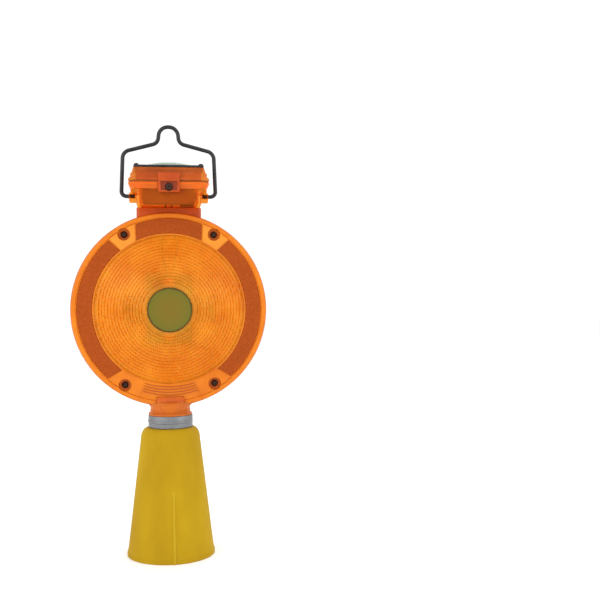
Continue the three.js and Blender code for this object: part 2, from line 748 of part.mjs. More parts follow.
function batteryCase() {
  const c = CASE;
  const box = slab(c.halfWidth, c.halfDepth, c.corner, [c.bottomZ, c.topZ]);
  const flangeZ = c.topZ - FLANGE.thickness;
  const shoulderTop = [
    (FLANGE.halfWidth - EMBED) / SHOULDER.halfWidth,
    (FLANGE.halfDepth - EMBED) / SHOULDER.halfDepth,
  ];
  const shoulderZs = [SHOULDER.bottomZ, flangeZ + EMBED / 2];
  const flange = join(
    flangeSlab([flangeZ, c.topZ]),
    slab(SHOULDER.halfWidth, SHOULDER.halfDepth, c.corner, shoulderZs, shoulderTop),
  );
  const tongueZs = [TONGUE.bottomZ, c.bottomZ + EMBED];
  const tongue = slab(TONGUE.halfWidth, TONGUE.halfDepth, TONGUE.corner, tongueZs);
  const round = (inset, zs) =>
    slab(TONGUE.halfWidth - inset, TONGUE.halfDepth - inset, TONGUE.innerCorner, zs);
  const groove = cut(
    round(-PAST, [GROOVE.bottomZ, GROOVE.topZ]),
    round(GROOVE.depth, [GROOVE.bottomZ - PAST, GROOVE.topZ + PAST]),
  );
  const floorTop = c.bottomZ + c.wall;
  const passage = round(TONGUE.wall, [TONGUE.bottomZ - PAST, floorTop + PAST]);
  const roomZs = [floorTop, c.topZ + PAST];
  const room = slab(c.halfWidth - c.wall, c.halfDepth - c.wall, c.corner - c.wall, roomZs);
  const bossYs = (side) => across(side, c.halfDepth - CASE_BOSS.length, c.halfDepth - EMBED);
  const bossAt = [0, TAB.screwZ + CASE_BOSS.rise];
  const bosses = SIDES.map((side) => rod("y", CASE_BOSS.radius, bossYs(side), bossAt));
  const screwHoles = rod("y", CASE_BOSS.pilotRadius, [-FAR, FAR], [0, TAB.screwZ], TINY);
  const notchHalf = TAB.halfWidth + GAP;
  const notchZs = [SHOULDER.bottomZ - PAST, c.topZ + PAST];
  const notches = SIDES.map((side) =>
    block([-notchHalf, notchHalf], across(side, c.halfDepth, FAR), notchZs),
  );
  const switchYs = [c.halfDepth - c.wall - PAST, c.halfDepth + PAST];
  const switchHole = rod("y", SWITCH.bushRadius + GAP, switchYs, [SWITCH.x, SWITCH.z]);
  const ribs = SIDES.map((side) => {
    const xs = across(side, CELL.length / 2 + CELL_RIB.clearance, c.halfWidth - EMBED);
    const { halfThickness, topZ } = CELL_RIB;
    return CELL_YS.map((y) => block(xs, [y - halfThickness, y + halfThickness], [c.bottomZ + EMBED, topZ]));
  });
  const hollow = cut(join(box, flange, tongue), room);
  const shell = cut(join(hollow, ...bosses, ...ribs.flat()), passage, groove);
  return join(cut(shell, screwHoles, switchHole, ...notches), ...lugs());
}

// The ears that carry the handle: a bored lug on a web that hangs from the flange.
function lugs() {
  const { outerX, innerX, halfDepth, bottomZ, topZ, boreRadius, webInset, webShort } = LUG;
  return SIDES.map((side) => {
    const webDepth = halfDepth - webShort;
    const webXs = across(side, innerX, outerX - webInset);
    const web = block(webXs, [-webDepth, webDepth], [topZ - EMBED, CASE.topZ - EMBED]);
    const lug = block(across(side, innerX, outerX), [-halfDepth, halfDepth], [bottomZ, topZ]);
    const boreXs = across(side, HANDLE.endX - GAP, outerX + PAST);
    const bore = rod("x", boreRadius, boreXs, [0, HANDLE.pivotZ], BORE);
    const sightAt = [side * LUG_WINDOW.x, HANDLE.pivotZ];
    const sight = rod("y", LUG_WINDOW.radius, [-halfDepth - PAST, 0], sightAt, BORE);
    return cut(join(web, lug), bore, sight);
  });
}

const GASKET_Z = CASE.topZ + GAP;
const LID_BOTTOM_Z = GASKET_Z + GASKET.thickness + GAP;

function lidGasket() {
  const g = GASKET;
  const zs = [GASKET_Z, GASKET_Z + g.thickness];
  const holeZs = [zs[0] - PAST, zs[1] + PAST];
  const hole = slab(g.halfWidth - g.bandWidth, g.halfDepth - g.bandWidth, g.innerCorner, holeZs);
  return cut(slab(g.halfWidth, g.halfDepth, g.corner, zs), hole);
}

const BEZEL_SCREWS = [[-1, -1], [1, -1], [1, 1], [-1, 1]].map(([sx, sy]) => [
  sx * BEZEL.screwX,
  sy * BEZEL.screwY,
]);

function headLid() {
  const l = LID;
  const flangeTop = LID_BOTTOM_Z + FLANGE.thickness;
  const flange = flangeSlab([LID_BOTTOM_Z, flangeTop]);
  const stepZs = [flangeTop - EMBED, l.shoulderZ];
  const step = slab(LID_STEP.halfWidth, LID_STEP.halfDepth, LID_STEP.corner, stepZs);
  const { halfWidth, halfDepth, corner } = LID_BASE;
  const shares = [l.topHalfWidth / halfWidth, l.topHalfDepth / halfDepth];
  const body = slab(halfWidth, halfDepth, corner, [l.shoulderZ - EMBED, l.topZ], shares);
  const roomZs = [LID_BOTTOM_Z - PAST, l.topZ - l.roof];
  const room = slab(l.topHalfWidth - l.wall, l.topHalfDepth - l.wall, l.roomCorner, roomZs);
  const recessZs = [l.topZ - PANEL.thickness - 2 * GAP, l.topZ + PAST];
  const recess = slab(PANEL.halfWidth + GAP, PANEL.halfDepth + GAP, PANEL.corner, recessZs);
  const atCorners = (radius, zs) => BEZEL_SCREWS.map((at) => rod("z", radius, zs, at, TINY));
  const pillars = atCorners(PILLAR.radius, [LID_BOTTOM_Z + EMBED, l.topZ - EMBED]);
  const pilots = atCorners(PILLAR.pilotRadius, [l.topZ - PILLAR.pilotDepth, l.topZ + PAST]);
  const tabs = SIDES.map((side) => lidTab(side));
  const leadZs = [l.topZ - l.roof - PAST, l.topZ + PAST];
  const leads = rod("z", LEAD_HOLE.radius, leadZs, [0, LEAD_HOLE.y], TINY);
  const hollow = join(cut(join(flange, step, body), room), ...pillars);
  return join(cut(hollow, recess, leads, ...pilots), ...tabs);
}

// The lid's tab reaches down over the case wall, where one screw holds it.
function lidTab(side) {
  const wall = CASE.halfDepth + GAP;
  const outer = wall + TAB.thickness;
  const leafZs = [TAB.bottomZ, LID.shoulderZ];
  const leaf = block([-TAB.halfWidth, TAB.halfWidth], across(side, wall, outer), leafZs);
  const { radius, depth, holeRadius } = TAB_POCKET;
  const pocket = rod("y", radius, across(side, outer - depth, outer + PAST), [0, TAB.screwZ], BORE);
  const hole = rod("y", holeRadius, across(side, wall - PAST, outer + PAST), [0, TAB.screwZ], TINY);
  return cut(leaf, pocket, hole);
}

function lidScrew() {
  const s = LID_SCREW;
  const seat = -CASE.halfDepth - GAP - TAB.thickness + TAB_POCKET.depth - GAP;
  const face = seat - s.headHeight;
  const body = turnedY([
    [0, face],
    [s.headTopRadius, face],
    [s.headRadius, seat - s.headEdge],
    [s.headRadius, seat],
    [s.shankRadius, seat],
    [s.shankRadius, seat + s.length],
    [0, seat + s.length],
  ]);
  return cut(body, rod("y", s.socketRadius, [face - PAST, face + s.socketDepth], [0, 0], HEXAGON));
}

function solarPanel() {
  const top = LID.topZ - GAP;
  return slab(PANEL.halfWidth, PANEL.halfDepth, PANEL.corner, [top - PANEL.thickness, top]);
}

function panelWindow() {
  const w = WINDOW;
  const base = LID.topZ + GAP;
  const flangeZs = [base, base + w.flangeThickness];
  const flange = slab(w.halfWidth + w.flange, w.halfDepth + w.flange, w.corner, flangeZs);
  const rise = w.apexZ - base - w.flangeThickness;
  const bulge = (w.halfWidth ** 2 + rise ** 2) / (2 * rise);
  const dome = new THREE.SphereGeometry(bulge, w.sides, w.sides).translate(0, 0, w.apexZ - bulge);
  const column = slab(w.halfWidth, w.halfDepth, w.corner, [base, w.apexZ + PAST]);
  return join(flange, solidOf(dome).intersect(column));
}

function panelBezel() {
  const w = WINDOW;
  const base = LID.topZ + GAP;
  const top = base + BEZEL.thickness;
  const through = [base - PAST, top + PAST];
  const outer = slab(LID.topHalfWidth, LID.topHalfDepth, BEZEL.corner, [base, top]);
  const opening = slab(w.halfWidth + GAP, w.halfDepth + GAP, w.corner, through);
  const grow = w.flange + GAP;
  const rebateZs = [base - PAST, base + w.flangeThickness + GAP];
  const rebate = slab(w.halfWidth + grow, w.halfDepth + grow, w.corner, rebateZs);
  const holes = BEZEL_SCREWS.map((at) => rod("z", BEZEL.holeRadius, through, at, TINY));
  return cut(outer, opening, rebate, ...holes);
}

function bezelScrew() {
  const s = BEZEL_SCREW;
  const head = turnedZ([
    [0, -s.length],
    [s.shankRadius, -s.length],
    [s.shankRadius, 0],
    [s.headRadius, 0],
    [s.headRadius, s.headEdge],
    [s.headTopRadius, s.headHeight],
    [0, s.headHeight],
  ], TINY);
  const slotZs = [s.headHeight - s.slotDepth, s.headHeight + PAST];
  return cut(head, block([-s.slotReach, s.slotReach], [-s.slotHalf, s.slotHalf], slotZs));
}

// ---------------------------------------------------------------- batteries, charging board, switch

function batteryCell() {
  const { radius, nippleRadius, nippleLength, footEdge, headEdge } = CELL;
  const half = CELL.length / 2;
  return turnedX([
    [0, -half],
    [radius - footEdge, -half],
    [radius, -half + footEdge],
    [radius, half - headEdge],
    [radius - headEdge, half],
    [nippleRadius, half],
    [nippleRadius, half + nippleLength],
    [0, half + nippleLength],
  ]);
}

// A spring-steel plate across the ends of the cells at those depths, with an optional tail to the board.
function contact(ys, tailY) {
  const { halfThickness, halfHeight, halfDepth, tailHalf } = CONTACT;
  const xs = [-halfThickness, halfThickness];
  const span = [Math.min(...ys) - halfDepth, Math.max(...ys) + halfDepth];
  const blade = block(xs, span, [-halfHeight, halfHeight]);
  if (tailY === undefined) return blade;
  const tailZs = [halfHeight - EMBED, BOARD_Z - GAP - CELL.z];
  return join(blade, block(xs, [tailY - tailHalf, tailY + tailHalf], tailZs));
}

function chargeBoard() {
  const { halfWidth, halfDepth } = BOARD;
  const top = BOARD_Z + BOARD_THICKNESS;
  const root = top - BOARD_THICKNESS / 2;
  const board = block([-halfWidth, halfWidth], [-halfDepth, halfDepth], [BOARD_Z, top]);
  const chips = CHIPS.map(({ at: [x, y], half: [w, d], height }) =>
    block([x - w, x + w], [y - d, y + d], [root, top + height]),
  );
  const capacitors = CAPACITORS.map(({ at, radius, height }) =>
    rod("z", radius, [root, top + height], at, TINY),
  );
  const { x, ys } = LEAD_SLOT;
  return cut(join(board, ...chips, ...capacitors), block([-x, x], ys, [BOARD_Z - PAST, top + PAST]));
}

function switchBody() {
  const s = SWITCH;
  const box = block([-s.halfWidth, s.halfWidth], s.bodyYs, [-s.halfHeight, s.halfHeight]);
  const tube = rod("y", s.bushRadius, [s.bodyYs[1] - EMBED, s.bushEndY], [0, 0]);
  const bore = rod("y", s.boreRadius, [s.bodyYs[1], s.bushEndY + PAST], [0, 0]);
  const pins = SIDES.map((side) => {
    const xs = across(side, PIN.x - PIN.halfWidth, PIN.x + PIN.halfWidth);
    return block(xs, [s.bodyYs[0] - PIN.length, s.bodyYs[0] + EMBED], PIN.zs);
  });
  return join(cut(join(box, tube), bore), ...pins);
}

function switchNut() {
  const base = CASE.halfDepth + GAP;
  const ring = rod("y", SWITCH.nutRadius, [base, base + SWITCH.nutThickness], [0, 0], HEXAGON);
  const boreYs = [base - PAST, base + SWITCH.nutThickness + PAST];
  return cut(ring, rod("y", SWITCH.bushRadius + GAP, boreYs, [0, 0]));
}

function powerButton() {
  const { radius, startY, endY, edge, crown, crownDepth } = BUTTON;
  return turnedY([
    [0, startY],
    [radius, startY],
    [radius, endY - crownDepth - edge],
    [radius - edge, endY - crownDepth],
    [crown, endY],
    [0, endY],
  ]);
}

// ---------------------------------------------------------------- handle and leads

// The handle's centreline: straight runs with a smooth curve at each bend, from lug to lug.
function handlePath() {
  const right = HANDLE_BENDS.map(([x, z, radius]) => ({ at: new THREE.Vector3(x, 0, z), radius }));
  const left = right.map(({ at, radius }) => ({ at: new THREE.Vector3(-at.x, 0, at.z), radius }));
  const bends = [...right, ...left.reverse()];
  const end = new THREE.Vector3(-HANDLE.endX, 0, 0);
  const path = new THREE.CurvePath();
  let from = new THREE.Vector3(HANDLE.endX, 0, 0);
  bends.forEach(({ at, radius }, i) => {
    const before = new THREE.Vector3().subVectors(from, at).normalize();
    const after = new THREE.Vector3().subVectors(bends[i + 1]?.at ?? end, at).normalize();
    const turn = Math.PI - before.angleTo(after);
    const setback = radius * Math.tan(turn / 2);
    const pull = setback - (4 / 3) * Math.tan(turn / 4) * radius; // brings the curve close to an arc
    const [start, near] = [setback, pull].map((s) => at.clone().addScaledVector(before, s));
    const [stop, far] = [setback, pull].map((s) => at.clone().addScaledVector(after, s));
    path.add(new THREE.LineCurve3(from, start));
    path.add(new THREE.CubicBezierCurve3(start, near, far, stop));
    from = stop;
  });
  path.add(new THREE.LineCurve3(from, end));
  return path;
}

// A round wire or cable along a curve. sides counts the flats of half its section.
function wire(path, radius, steps, sides) {
  const section = new THREE.Shape();
  section.absarc(0, 0, radius, 0, 2 * Math.PI);
  const options = { steps, extrudePath: path, curveSegments: sides, bevelEnabled: false };
  return solidOf(new THREE.ExtrudeGeometry(section, options));
}

// A thin cable through a list of points.
function cable(points, radius, steps) {
  const curve = new THREE.CatmullRomCurve3(points.map((point) => new THREE.Vector3(...point)));
  return wire(curve, radius, steps, CABLE_SIDES);
}

function lead(side) {
  const x = side * LEAD.spacing;
  const bottom = DISC.z + CARRIER.halfHeight + GAP;
  return cable(
    [
      [x, LEAD.entryY, BOARD_Z - GAP],
      [x, LEAD.entryY, CELL.z - CELL.radius],
      [x, 0, TONGUE.bottomZ],
      [x * LEAD.spread, 0, (TONGUE.bottomZ + bottom) / 2],
      [x, 0, bottom],
    ],
    LEAD.radius,
    LEAD.steps,
  );
}

function panelLead(side) {
  const { radius, topX, footX, footY, bow, clearance, steps } = PANEL_LEAD;
  const top = LID.topZ - PANEL.thickness - clearance;
  const bottom = BOARD_Z + BOARD_THICKNESS + GAP;
  return cable(
    [
      [side * topX, LEAD_HOLE.y, top],
      [side * topX, LEAD_HOLE.y, LID.topZ - LID.roof],
      [side * footX, footY - bow, (top + bottom) / 2],
      [side * footX, footY, bottom],
    ],
    radius,
    steps,
  );
}

// ---------------------------------------------------------------- assembly

function coneMount() {
  return assembly(
    mesh("cone_sleeve", sleeve(), yellow),
    mesh("clamp_band", clampBand(), zinc),
    placed(mesh("clamp_screw", clampScrew(), darkScrew), 0, CLAMP_SCREW_Y, BAND_MIDDLE),
    placed(mesh("clamp_nut", clampNut(), nickel), 0, CLAMP_SCREW_Y, BAND_MIDDLE),
  );
}

function lens() {
  const sides = { front: [0, 0, 0], rear: HALF_TURN };
  const faces = Object.entries(sides).map(([side, rotation]) => {
    const pieces = Object.entries(REFLECTORS).map(([place, shape]) =>
      mesh(`${side}_reflector_${place}`, reflector(shape), reflectorAmber),
    );
    const cap = mesh(`${side}_centre_cap`, centreCap(), olive);
    const leds = { upper: 1, lower: -1 };
    const lights = Object.entries(leds).map(([place, sign]) =>
      placed(mesh(`led_${side}_${place}`, led(), ledClear), 0, 0, sign * LED.offset),
    );
    return placed(assembly(...pieces, cap, ...lights), 0, 0, 0, rotation);
  });
  const screws = SCREW_CORNERS.map(([x, z], i) =>
    placed(mesh(`case_screw_${i + 1}`, caseScrew(), darkScrew), x, POCKET.floorY - GAP, z),
  );
  const engine = [
    mesh("led_carrier", ledCarrier(), carrierWhite),
    mesh("led_board", ledBoard(), circuitGreen),
    placed(mesh("carrier_screw_left", carrierScrew(), darkScrew), -POST.x, 0, 0),
    placed(mesh("carrier_screw_right", carrierScrew(), darkScrew), POST.x, 0, 0),
  ];
  return placed(assembly(...faces, ...screws, ...engine), 0, 0, DISC.z);
}

function head() {
  const bezelTop = LID.topZ + GAP + BEZEL.thickness + GAP;
  const cells = [
    placed(mesh("battery_cell_front", batteryCell(), cellSleeve), 0, CELL_YS[0], CELL.z),
    placed(mesh("battery_cell_rear", batteryCell(), cellSleeve), 0, CELL_YS[1], CELL.z, HALF_TURN),
  ];
  const contactX = CELL.length / 2 + CELL.nippleLength + CONTACT.halfThickness + GAP;
  const [frontY, rearY] = CELL_YS;
  const contacts = [
    placed(mesh("battery_link", contact([frontY, rearY]), nickel), contactX, 0, CELL.z),
    ...[["front", frontY], ["rear", rearY]].map(([side, y]) =>
      placed(mesh(`battery_contact_${side}`, contact([y], y), nickel), -contactX, 0, CELL.z),
    ),
  ];
  return assembly(
    mesh("battery_case", batteryCase(), amber),
    mesh("lid_gasket", lidGasket(), rubber),
    mesh("head_lid", headLid(), amber),
    placed(mesh("lid_screw_front", lidScrew(), darkScrew), 0, 0, TAB.screwZ),
    placed(mesh("lid_screw_rear", lidScrew(), darkScrew), 0, 0, TAB.screwZ, HALF_TURN),
    mesh("solar_panel", solarPanel(), silicon),
    mesh("panel_window", panelWindow(), clear),
    mesh("panel_bezel", panelBezel(), blackPlastic),
    ...BEZEL_SCREWS.map(([x, y], i) =>
      placed(mesh(`bezel_screw_${i + 1}`, bezelScrew(), blackSteel), x, y, bezelTop),
    ),
    ...cells,
    ...contacts,
    mesh("charge_board", chargeBoard(), circuitGreen),
    placed(mesh("switch_body", switchBody(), blackPlastic), SWITCH.x, 0, SWITCH.z),
    placed(mesh("switch_nut", switchNut(), nickel), SWITCH.x, 0, SWITCH.z, FLAT_UP),
    placed(mesh("power_button", powerButton(), black), SWITCH.x, 0, SWITCH.z),
    mesh("panel_lead_red", panelLead(1), red),
    mesh("panel_lead_black", panelLead(-1), black),
  );
}

const handle = placed(
  mesh("carry_handle", wire(handlePath(), HANDLE.wireRadius, HANDLE.steps, HANDLE.sides), blackSteel),
  0,
  0,
  HANDLE.pivotZ,
);

const lamp = assembly(
  mesh("front_shell", frontShell(), amber),
  mesh("rear_shell", rearShell(), amber),
  mesh("neck_socket", neckSocket(), amber),
  mesh("lamp_lead_red", lead(1), red),
  mesh("lamp_lead_black", lead(-1), black),
  lens(),
  head(),
);

export default assembly(coneMount(), lamp, handle);
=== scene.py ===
"""Looks of the solar cone lamp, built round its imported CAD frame, in millimetres until a mesh is made."""

import math

import bmesh
import bpy
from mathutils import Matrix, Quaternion, Vector


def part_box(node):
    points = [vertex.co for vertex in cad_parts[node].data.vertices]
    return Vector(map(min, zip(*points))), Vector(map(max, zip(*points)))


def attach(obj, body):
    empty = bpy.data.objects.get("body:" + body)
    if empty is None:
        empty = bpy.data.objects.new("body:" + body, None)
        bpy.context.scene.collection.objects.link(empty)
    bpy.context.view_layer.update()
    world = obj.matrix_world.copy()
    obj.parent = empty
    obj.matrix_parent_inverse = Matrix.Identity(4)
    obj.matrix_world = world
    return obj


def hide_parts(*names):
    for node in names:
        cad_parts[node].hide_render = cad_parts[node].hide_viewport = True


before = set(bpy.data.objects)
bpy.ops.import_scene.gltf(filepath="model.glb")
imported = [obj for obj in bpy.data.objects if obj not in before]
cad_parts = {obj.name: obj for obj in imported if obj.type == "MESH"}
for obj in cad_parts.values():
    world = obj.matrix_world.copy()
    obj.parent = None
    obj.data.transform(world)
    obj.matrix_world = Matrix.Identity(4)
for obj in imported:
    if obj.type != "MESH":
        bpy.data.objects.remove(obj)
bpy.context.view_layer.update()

MM = 0.001
TURN = 2 * math.pi


class Box:
    """A CAD node's box, in millimetres."""

    def __init__(self, node):
        low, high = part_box(node)
        self.lo = Vector(low) / MM
        self.hi = Vector(high) / MM
        self.mid = (self.lo + self.hi) / 2
        self.half = (self.hi - self.lo) / 2


SLEEVE = Box("cone_sleeve")
BAND = Box("clamp_band")
NECK = Box("neck_socket")
SHELL = Box("front_shell")
CAP = Box("front_centre_cap")
CASE = Box("battery_case")
LID = Box("head_lid")
GASKET = Box("lid_gasket")
BEZEL = Box("panel_bezel")
WINDOW = Box("panel_window")
PANEL = Box("solar_panel")
HANDLE = Box("carry_handle")
BUTTON = Box("power_button")
SWITCH = Box("switch_body")
NUT = Box("switch_nut")
LID_SCREW = Box("lid_screw_front")
CLAMP_SCREW = Box("clamp_screw")
CLAMP_NUT = Box("clamp_nut")
CASE_SCREWS = [Box(f"case_screw_{i}") for i in (1, 2, 3, 4)]
BEZEL_SCREWS = [Box(f"bezel_screw_{i}") for i in (1, 2, 3, 4)]

DISC_Z = CAP.mid.z
DISC_R = SHELL.half.x
FACE_Y = 12.0  # depth of the lens's flat border, from the parting plane
LENS_R = 70.5
LENS_RISE = 15.0
SEAT_R = 22.5  # the flat in the lens's middle, under the cap
WALL = 2.4
REFLECTOR_IN = 73.0
REFLECTOR_OUT = 87.0
GAP = 0.3


# ---------------------------------------------------------------- outlines

STRAIGHT = 1e-4  # a smaller turn, in radians, isn't a corner


def rounded(points, closed=False, size=2, steps=4):
    """Rounds a polyline's corners. A point is its size coordinates, and a radius where it is rounded."""
    out = []
    count = len(points)
    for i, point in enumerate(points):
        here = Vector(point[:size])
        if len(point) == size or (not closed and i in (0, count - 1)):
            out.append(tuple(point[:size]))
            continue
        before = Vector(points[i - 1][:size]) - here
        after = Vector(points[(i + 1) % count][:size]) - here
        turn = math.pi - before.angle(after)
        if turn < STRAIGHT:
            out.append(tuple(point[:size]))
            continue
        setback = min(point[size] * math.tan(turn / 2), before.length * 0.499, after.length * 0.499)
        out += arc_between(here, before.normalized(), after.normalized(), setback, turn, steps)
    return out


def arc_between(corner, before, after, setback, turn, steps):
    """Points on the cubic curve that stands for the arc inside a corner."""
    pull = setback * (1 - 4 / 3 * math.tan(turn / 4) / math.tan(turn / 2))
    knots = [corner + way * length for way, length in
             ((before, setback), (before, pull), (after, pull), (after, setback))]
    points = []
    for k in range(steps + 1):
        t = k / steps
        weights = [(1 - t) ** 3, 3 * t * (1 - t) ** 2, 3 * t * t * (1 - t), t**3]
        points.append(tuple(sum((knot * w for knot, w in zip(knots, weights)), corner * 0)))
    return points


def rounded_rectangle(half_w, half_d, corner, steps=6):
    """Corners' arcs, in order, round a rectangle in the XY plane."""
    corner = max(min(corner, half_w - 0.01, half_d - 0.01), 0.05)
    centres = [(1, 1), (-1, 1), (-1, -1), (1, -1)]
    loop = []
    for quarter, (sx, sy) in enumerate(centres):
        for k in range(steps + 1):
            a = (quarter + k / steps) * math.pi / 2
            x = sx * (half_w - corner) + corner * math.cos(a)
            y = sy * (half_d - corner) + corner * math.sin(a)
            loop.append((x, y))
    return loop


def turns(count):
    """Even steps round, as angles."""
    return [TURN * i / count for i in range(count)]


def away_from(a, middles):
    """How far round an angle is from the nearest of some others."""
    return min(abs((a - middle + math.pi) % TURN - math.pi) for middle in middles)


def centred(half_w, half_d, low, high):
    """Two opposite corners of a box on the upright axis."""
    return (-half_w, -half_d, low), (half_w, half_d, high)


def smooth_step(t):
    t = min(max(t, 0.0), 1.0)
    return t * t * (3 - 2 * t)


# ---------------------------------------------------------------- meshes


def to_object(name, bm, material, sharp=35):
    """The mesh as an object, smooth apart from its sharp edges."""
    mesh = bpy.data.meshes.new(name)
    bm.to_mesh(mesh)
    bm.free()
    mesh.shade_smooth()
    mesh.set_sharp_from_angle(angle=math.radians(sharp))
    if material:
        mesh.materials.append(material)
    obj = bpy.data.objects.new(name, mesh)
    bpy.context.scene.collection.objects.link(obj)
    return obj


def finish_mesh(name, bm, material, sharp=35):
    """A mesh in millimetres as an object in metres, welded and facing out."""
    bmesh.ops.remove_doubles(bm, verts=bm.verts, dist=1e-4)
    bmesh.ops.recalc_face_normals(bm, faces=bm.faces)
    bmesh.ops.scale(bm, vec=(MM, MM, MM), verts=bm.verts)
    return to_object(name, bm, material, sharp)


def skin(loops, closed):
    """Quads between neighbouring loops of points. A loop of one point is a pole."""
    bm = bmesh.new()
    rows = [[bm.verts.new(p) for p in loop] for loop in loops]
    pairs = list(zip(rows, rows[1:] + rows[:1]))
    if not closed:
        pairs.pop()
        for row in (rows[0], rows[-1]):
            if len(row) > 2:
                bm.faces.new(row)
    for low, high in pairs:
        if len(low) == 1 and len(high) == 1:
            continue
        size = max(len(low), len(high))
        for i in range(size):
            j = (i + 1) % size
            corners = []
            for row, k in ((low, i), (low, j), (high, j), (high, i)):
                vert = row[k % len(row)] if len(row) > 1 else row[0]
                if vert not in corners:
                    corners.append(vert)
            if len(corners) > 2:
                bm.faces.new(corners)
    return bm


def on_axis(axis, pair, along):
    """A point from its distance along an axis and its other two coordinates, in order."""
    point = list(pair)
    point.insert("xyz".index(axis), along)
    return point


def revolve(
    name, profile, material, axis="z", segments=128, angles=None, shift=None, sharp=35, at=(0, 0)
):
    """Turns a closed profile of (radius, height, rounding) about an axis through at.

    shift(angle, radius, height) moves its points.
    """
    angles = angles or turns(segments)
    loops = []
    for r, h in rounded(profile, closed=True):
        loop = []
        for a in angles if r else angles[:1]:
            rr, hh = shift(a, r, h) if shift else (r, h)
            loop.append(on_axis(axis, (at[0] + rr * math.cos(a), at[1] + rr * math.sin(a)), hh))
        loops.append(loop)
    return finish_mesh(name, skin(loops, closed=True), material, sharp)


def box_sweep(name, profile, corner, material=None, closed=False, steps=6, sharp=35):
    """Stacks rounded rectangles of (half width, half depth, z, rounding). Flat faces close open ends."""
    rows = rounded(profile, closed, size=3)
    deepest = max(row[1] for row in rows)
    loops = []
    for half_w, half_d, z in rows:
        r = corner(half_d) if callable(corner) else corner - deepest + half_d
        loops.append([(x, y, z) for x, y in rounded_rectangle(half_w, half_d, max(r, 1.0), steps)])
    return finish_mesh(name, skin(loops, closed), material, sharp)


def block(name, corner, opposite, material=None, bevel=0.4, segments=2):
    """A box between two opposite corners, with rounded edges."""
    bm = bmesh.new()
    bmesh.ops.create_cube(bm, size=1)
    low, high = zip(*(sorted(ends) for ends in zip(corner, opposite)))
    for v in bm.verts:
        v.co = [(low[i] + high[i]) / 2 + v.co[i] * (high[i] - low[i]) for i in range(3)]
    if bevel:
        bmesh.ops.bevel(bm, geom=bm.edges[:], offset=bevel, segments=segments, profile=0.5, affect="EDGES")
    return finish_mesh(name, bm, material)


def sharp_box(corner, opposite):
    """A box with sharp edges, mostly to cut with."""
    return block("sharp_box", corner, opposite, bevel=0)


def rod(axis, radius, start, end, at, segments=32, chamfer=0.0):
    """A plain round cutter or post along an axis; at gives the other two coordinates in order."""
    start, end = sorted((start, end))
    profile = [(0, start), (radius - chamfer, start), (radius, start + chamfer)]
    profile += [(radius, end - chamfer), (radius - chamfer, end), (0, end)]
    return revolve("rod", profile, None, axis, segments, at=at)


def bake(obj):
    """Replaces an object's mesh by what its modifiers make of it."""
    bpy.context.view_layer.update()
    graph = bpy.context.evaluated_depsgraph_get()
    mesh = bpy.data.meshes.new_from_object(obj.evaluated_get(graph))
    old = obj.data
    obj.modifiers.clear()
    obj.data = mesh
    bpy.data.meshes.remove(old)
    return obj


def combine(obj, others, operation, sharp=35):
    """Joins or cuts an object with others, which are used up."""
    for other in others:
        modifier = obj.modifiers.new("combine", "BOOLEAN")
        modifier.operation = operation
        modifier.solver = "EXACT"
        modifier.object = other
        bake(obj)
        bpy.data.objects.remove(other)
    obj.data.shade_smooth()
    obj.data.set_sharp_from_angle(angle=math.radians(sharp))
    return obj


def cut(obj, *others):
    return combine(obj, others, "DIFFERENCE")


def join(obj, *others):
    return combine(obj, others, "UNION")


def soften(obj, width, segments=2, angle=35):
    """Rounds an object's sharp edges."""
    modifier = obj.modifiers.new("edges", "BEVEL")
    modifier.width = width * MM
    modifier.segments = segments
    modifier.limit_method = "ANGLE"
    modifier.angle_limit = math.radians(angle)
    return obj


def repaint(obj, material, wanted):
    """Gives another material to the faces whose middles, in millimetres, are wanted."""
    obj.data.materials.append(material)
    for face in obj.data.polygons:
        if wanted(face.center / MM):
            face.material_index = len(obj.data.materials) - 1


def install(obj, slot, *nodes, body="lamp", rear=False):
    """Puts a finished piece on its body and hides the CAD nodes that it stands for. The record's slot is
    not used.

    A rear piece is made as a front one, and its mesh is given half a turn here.
    """
    if rear:
        for v in obj.data.vertices:
            v.co.x, v.co.y = -v.co.x, -v.co.y
        obj.data.update()
    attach(obj, body)
    if nodes:
        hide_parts(*nodes)


# ---------------------------------------------------------------- materials


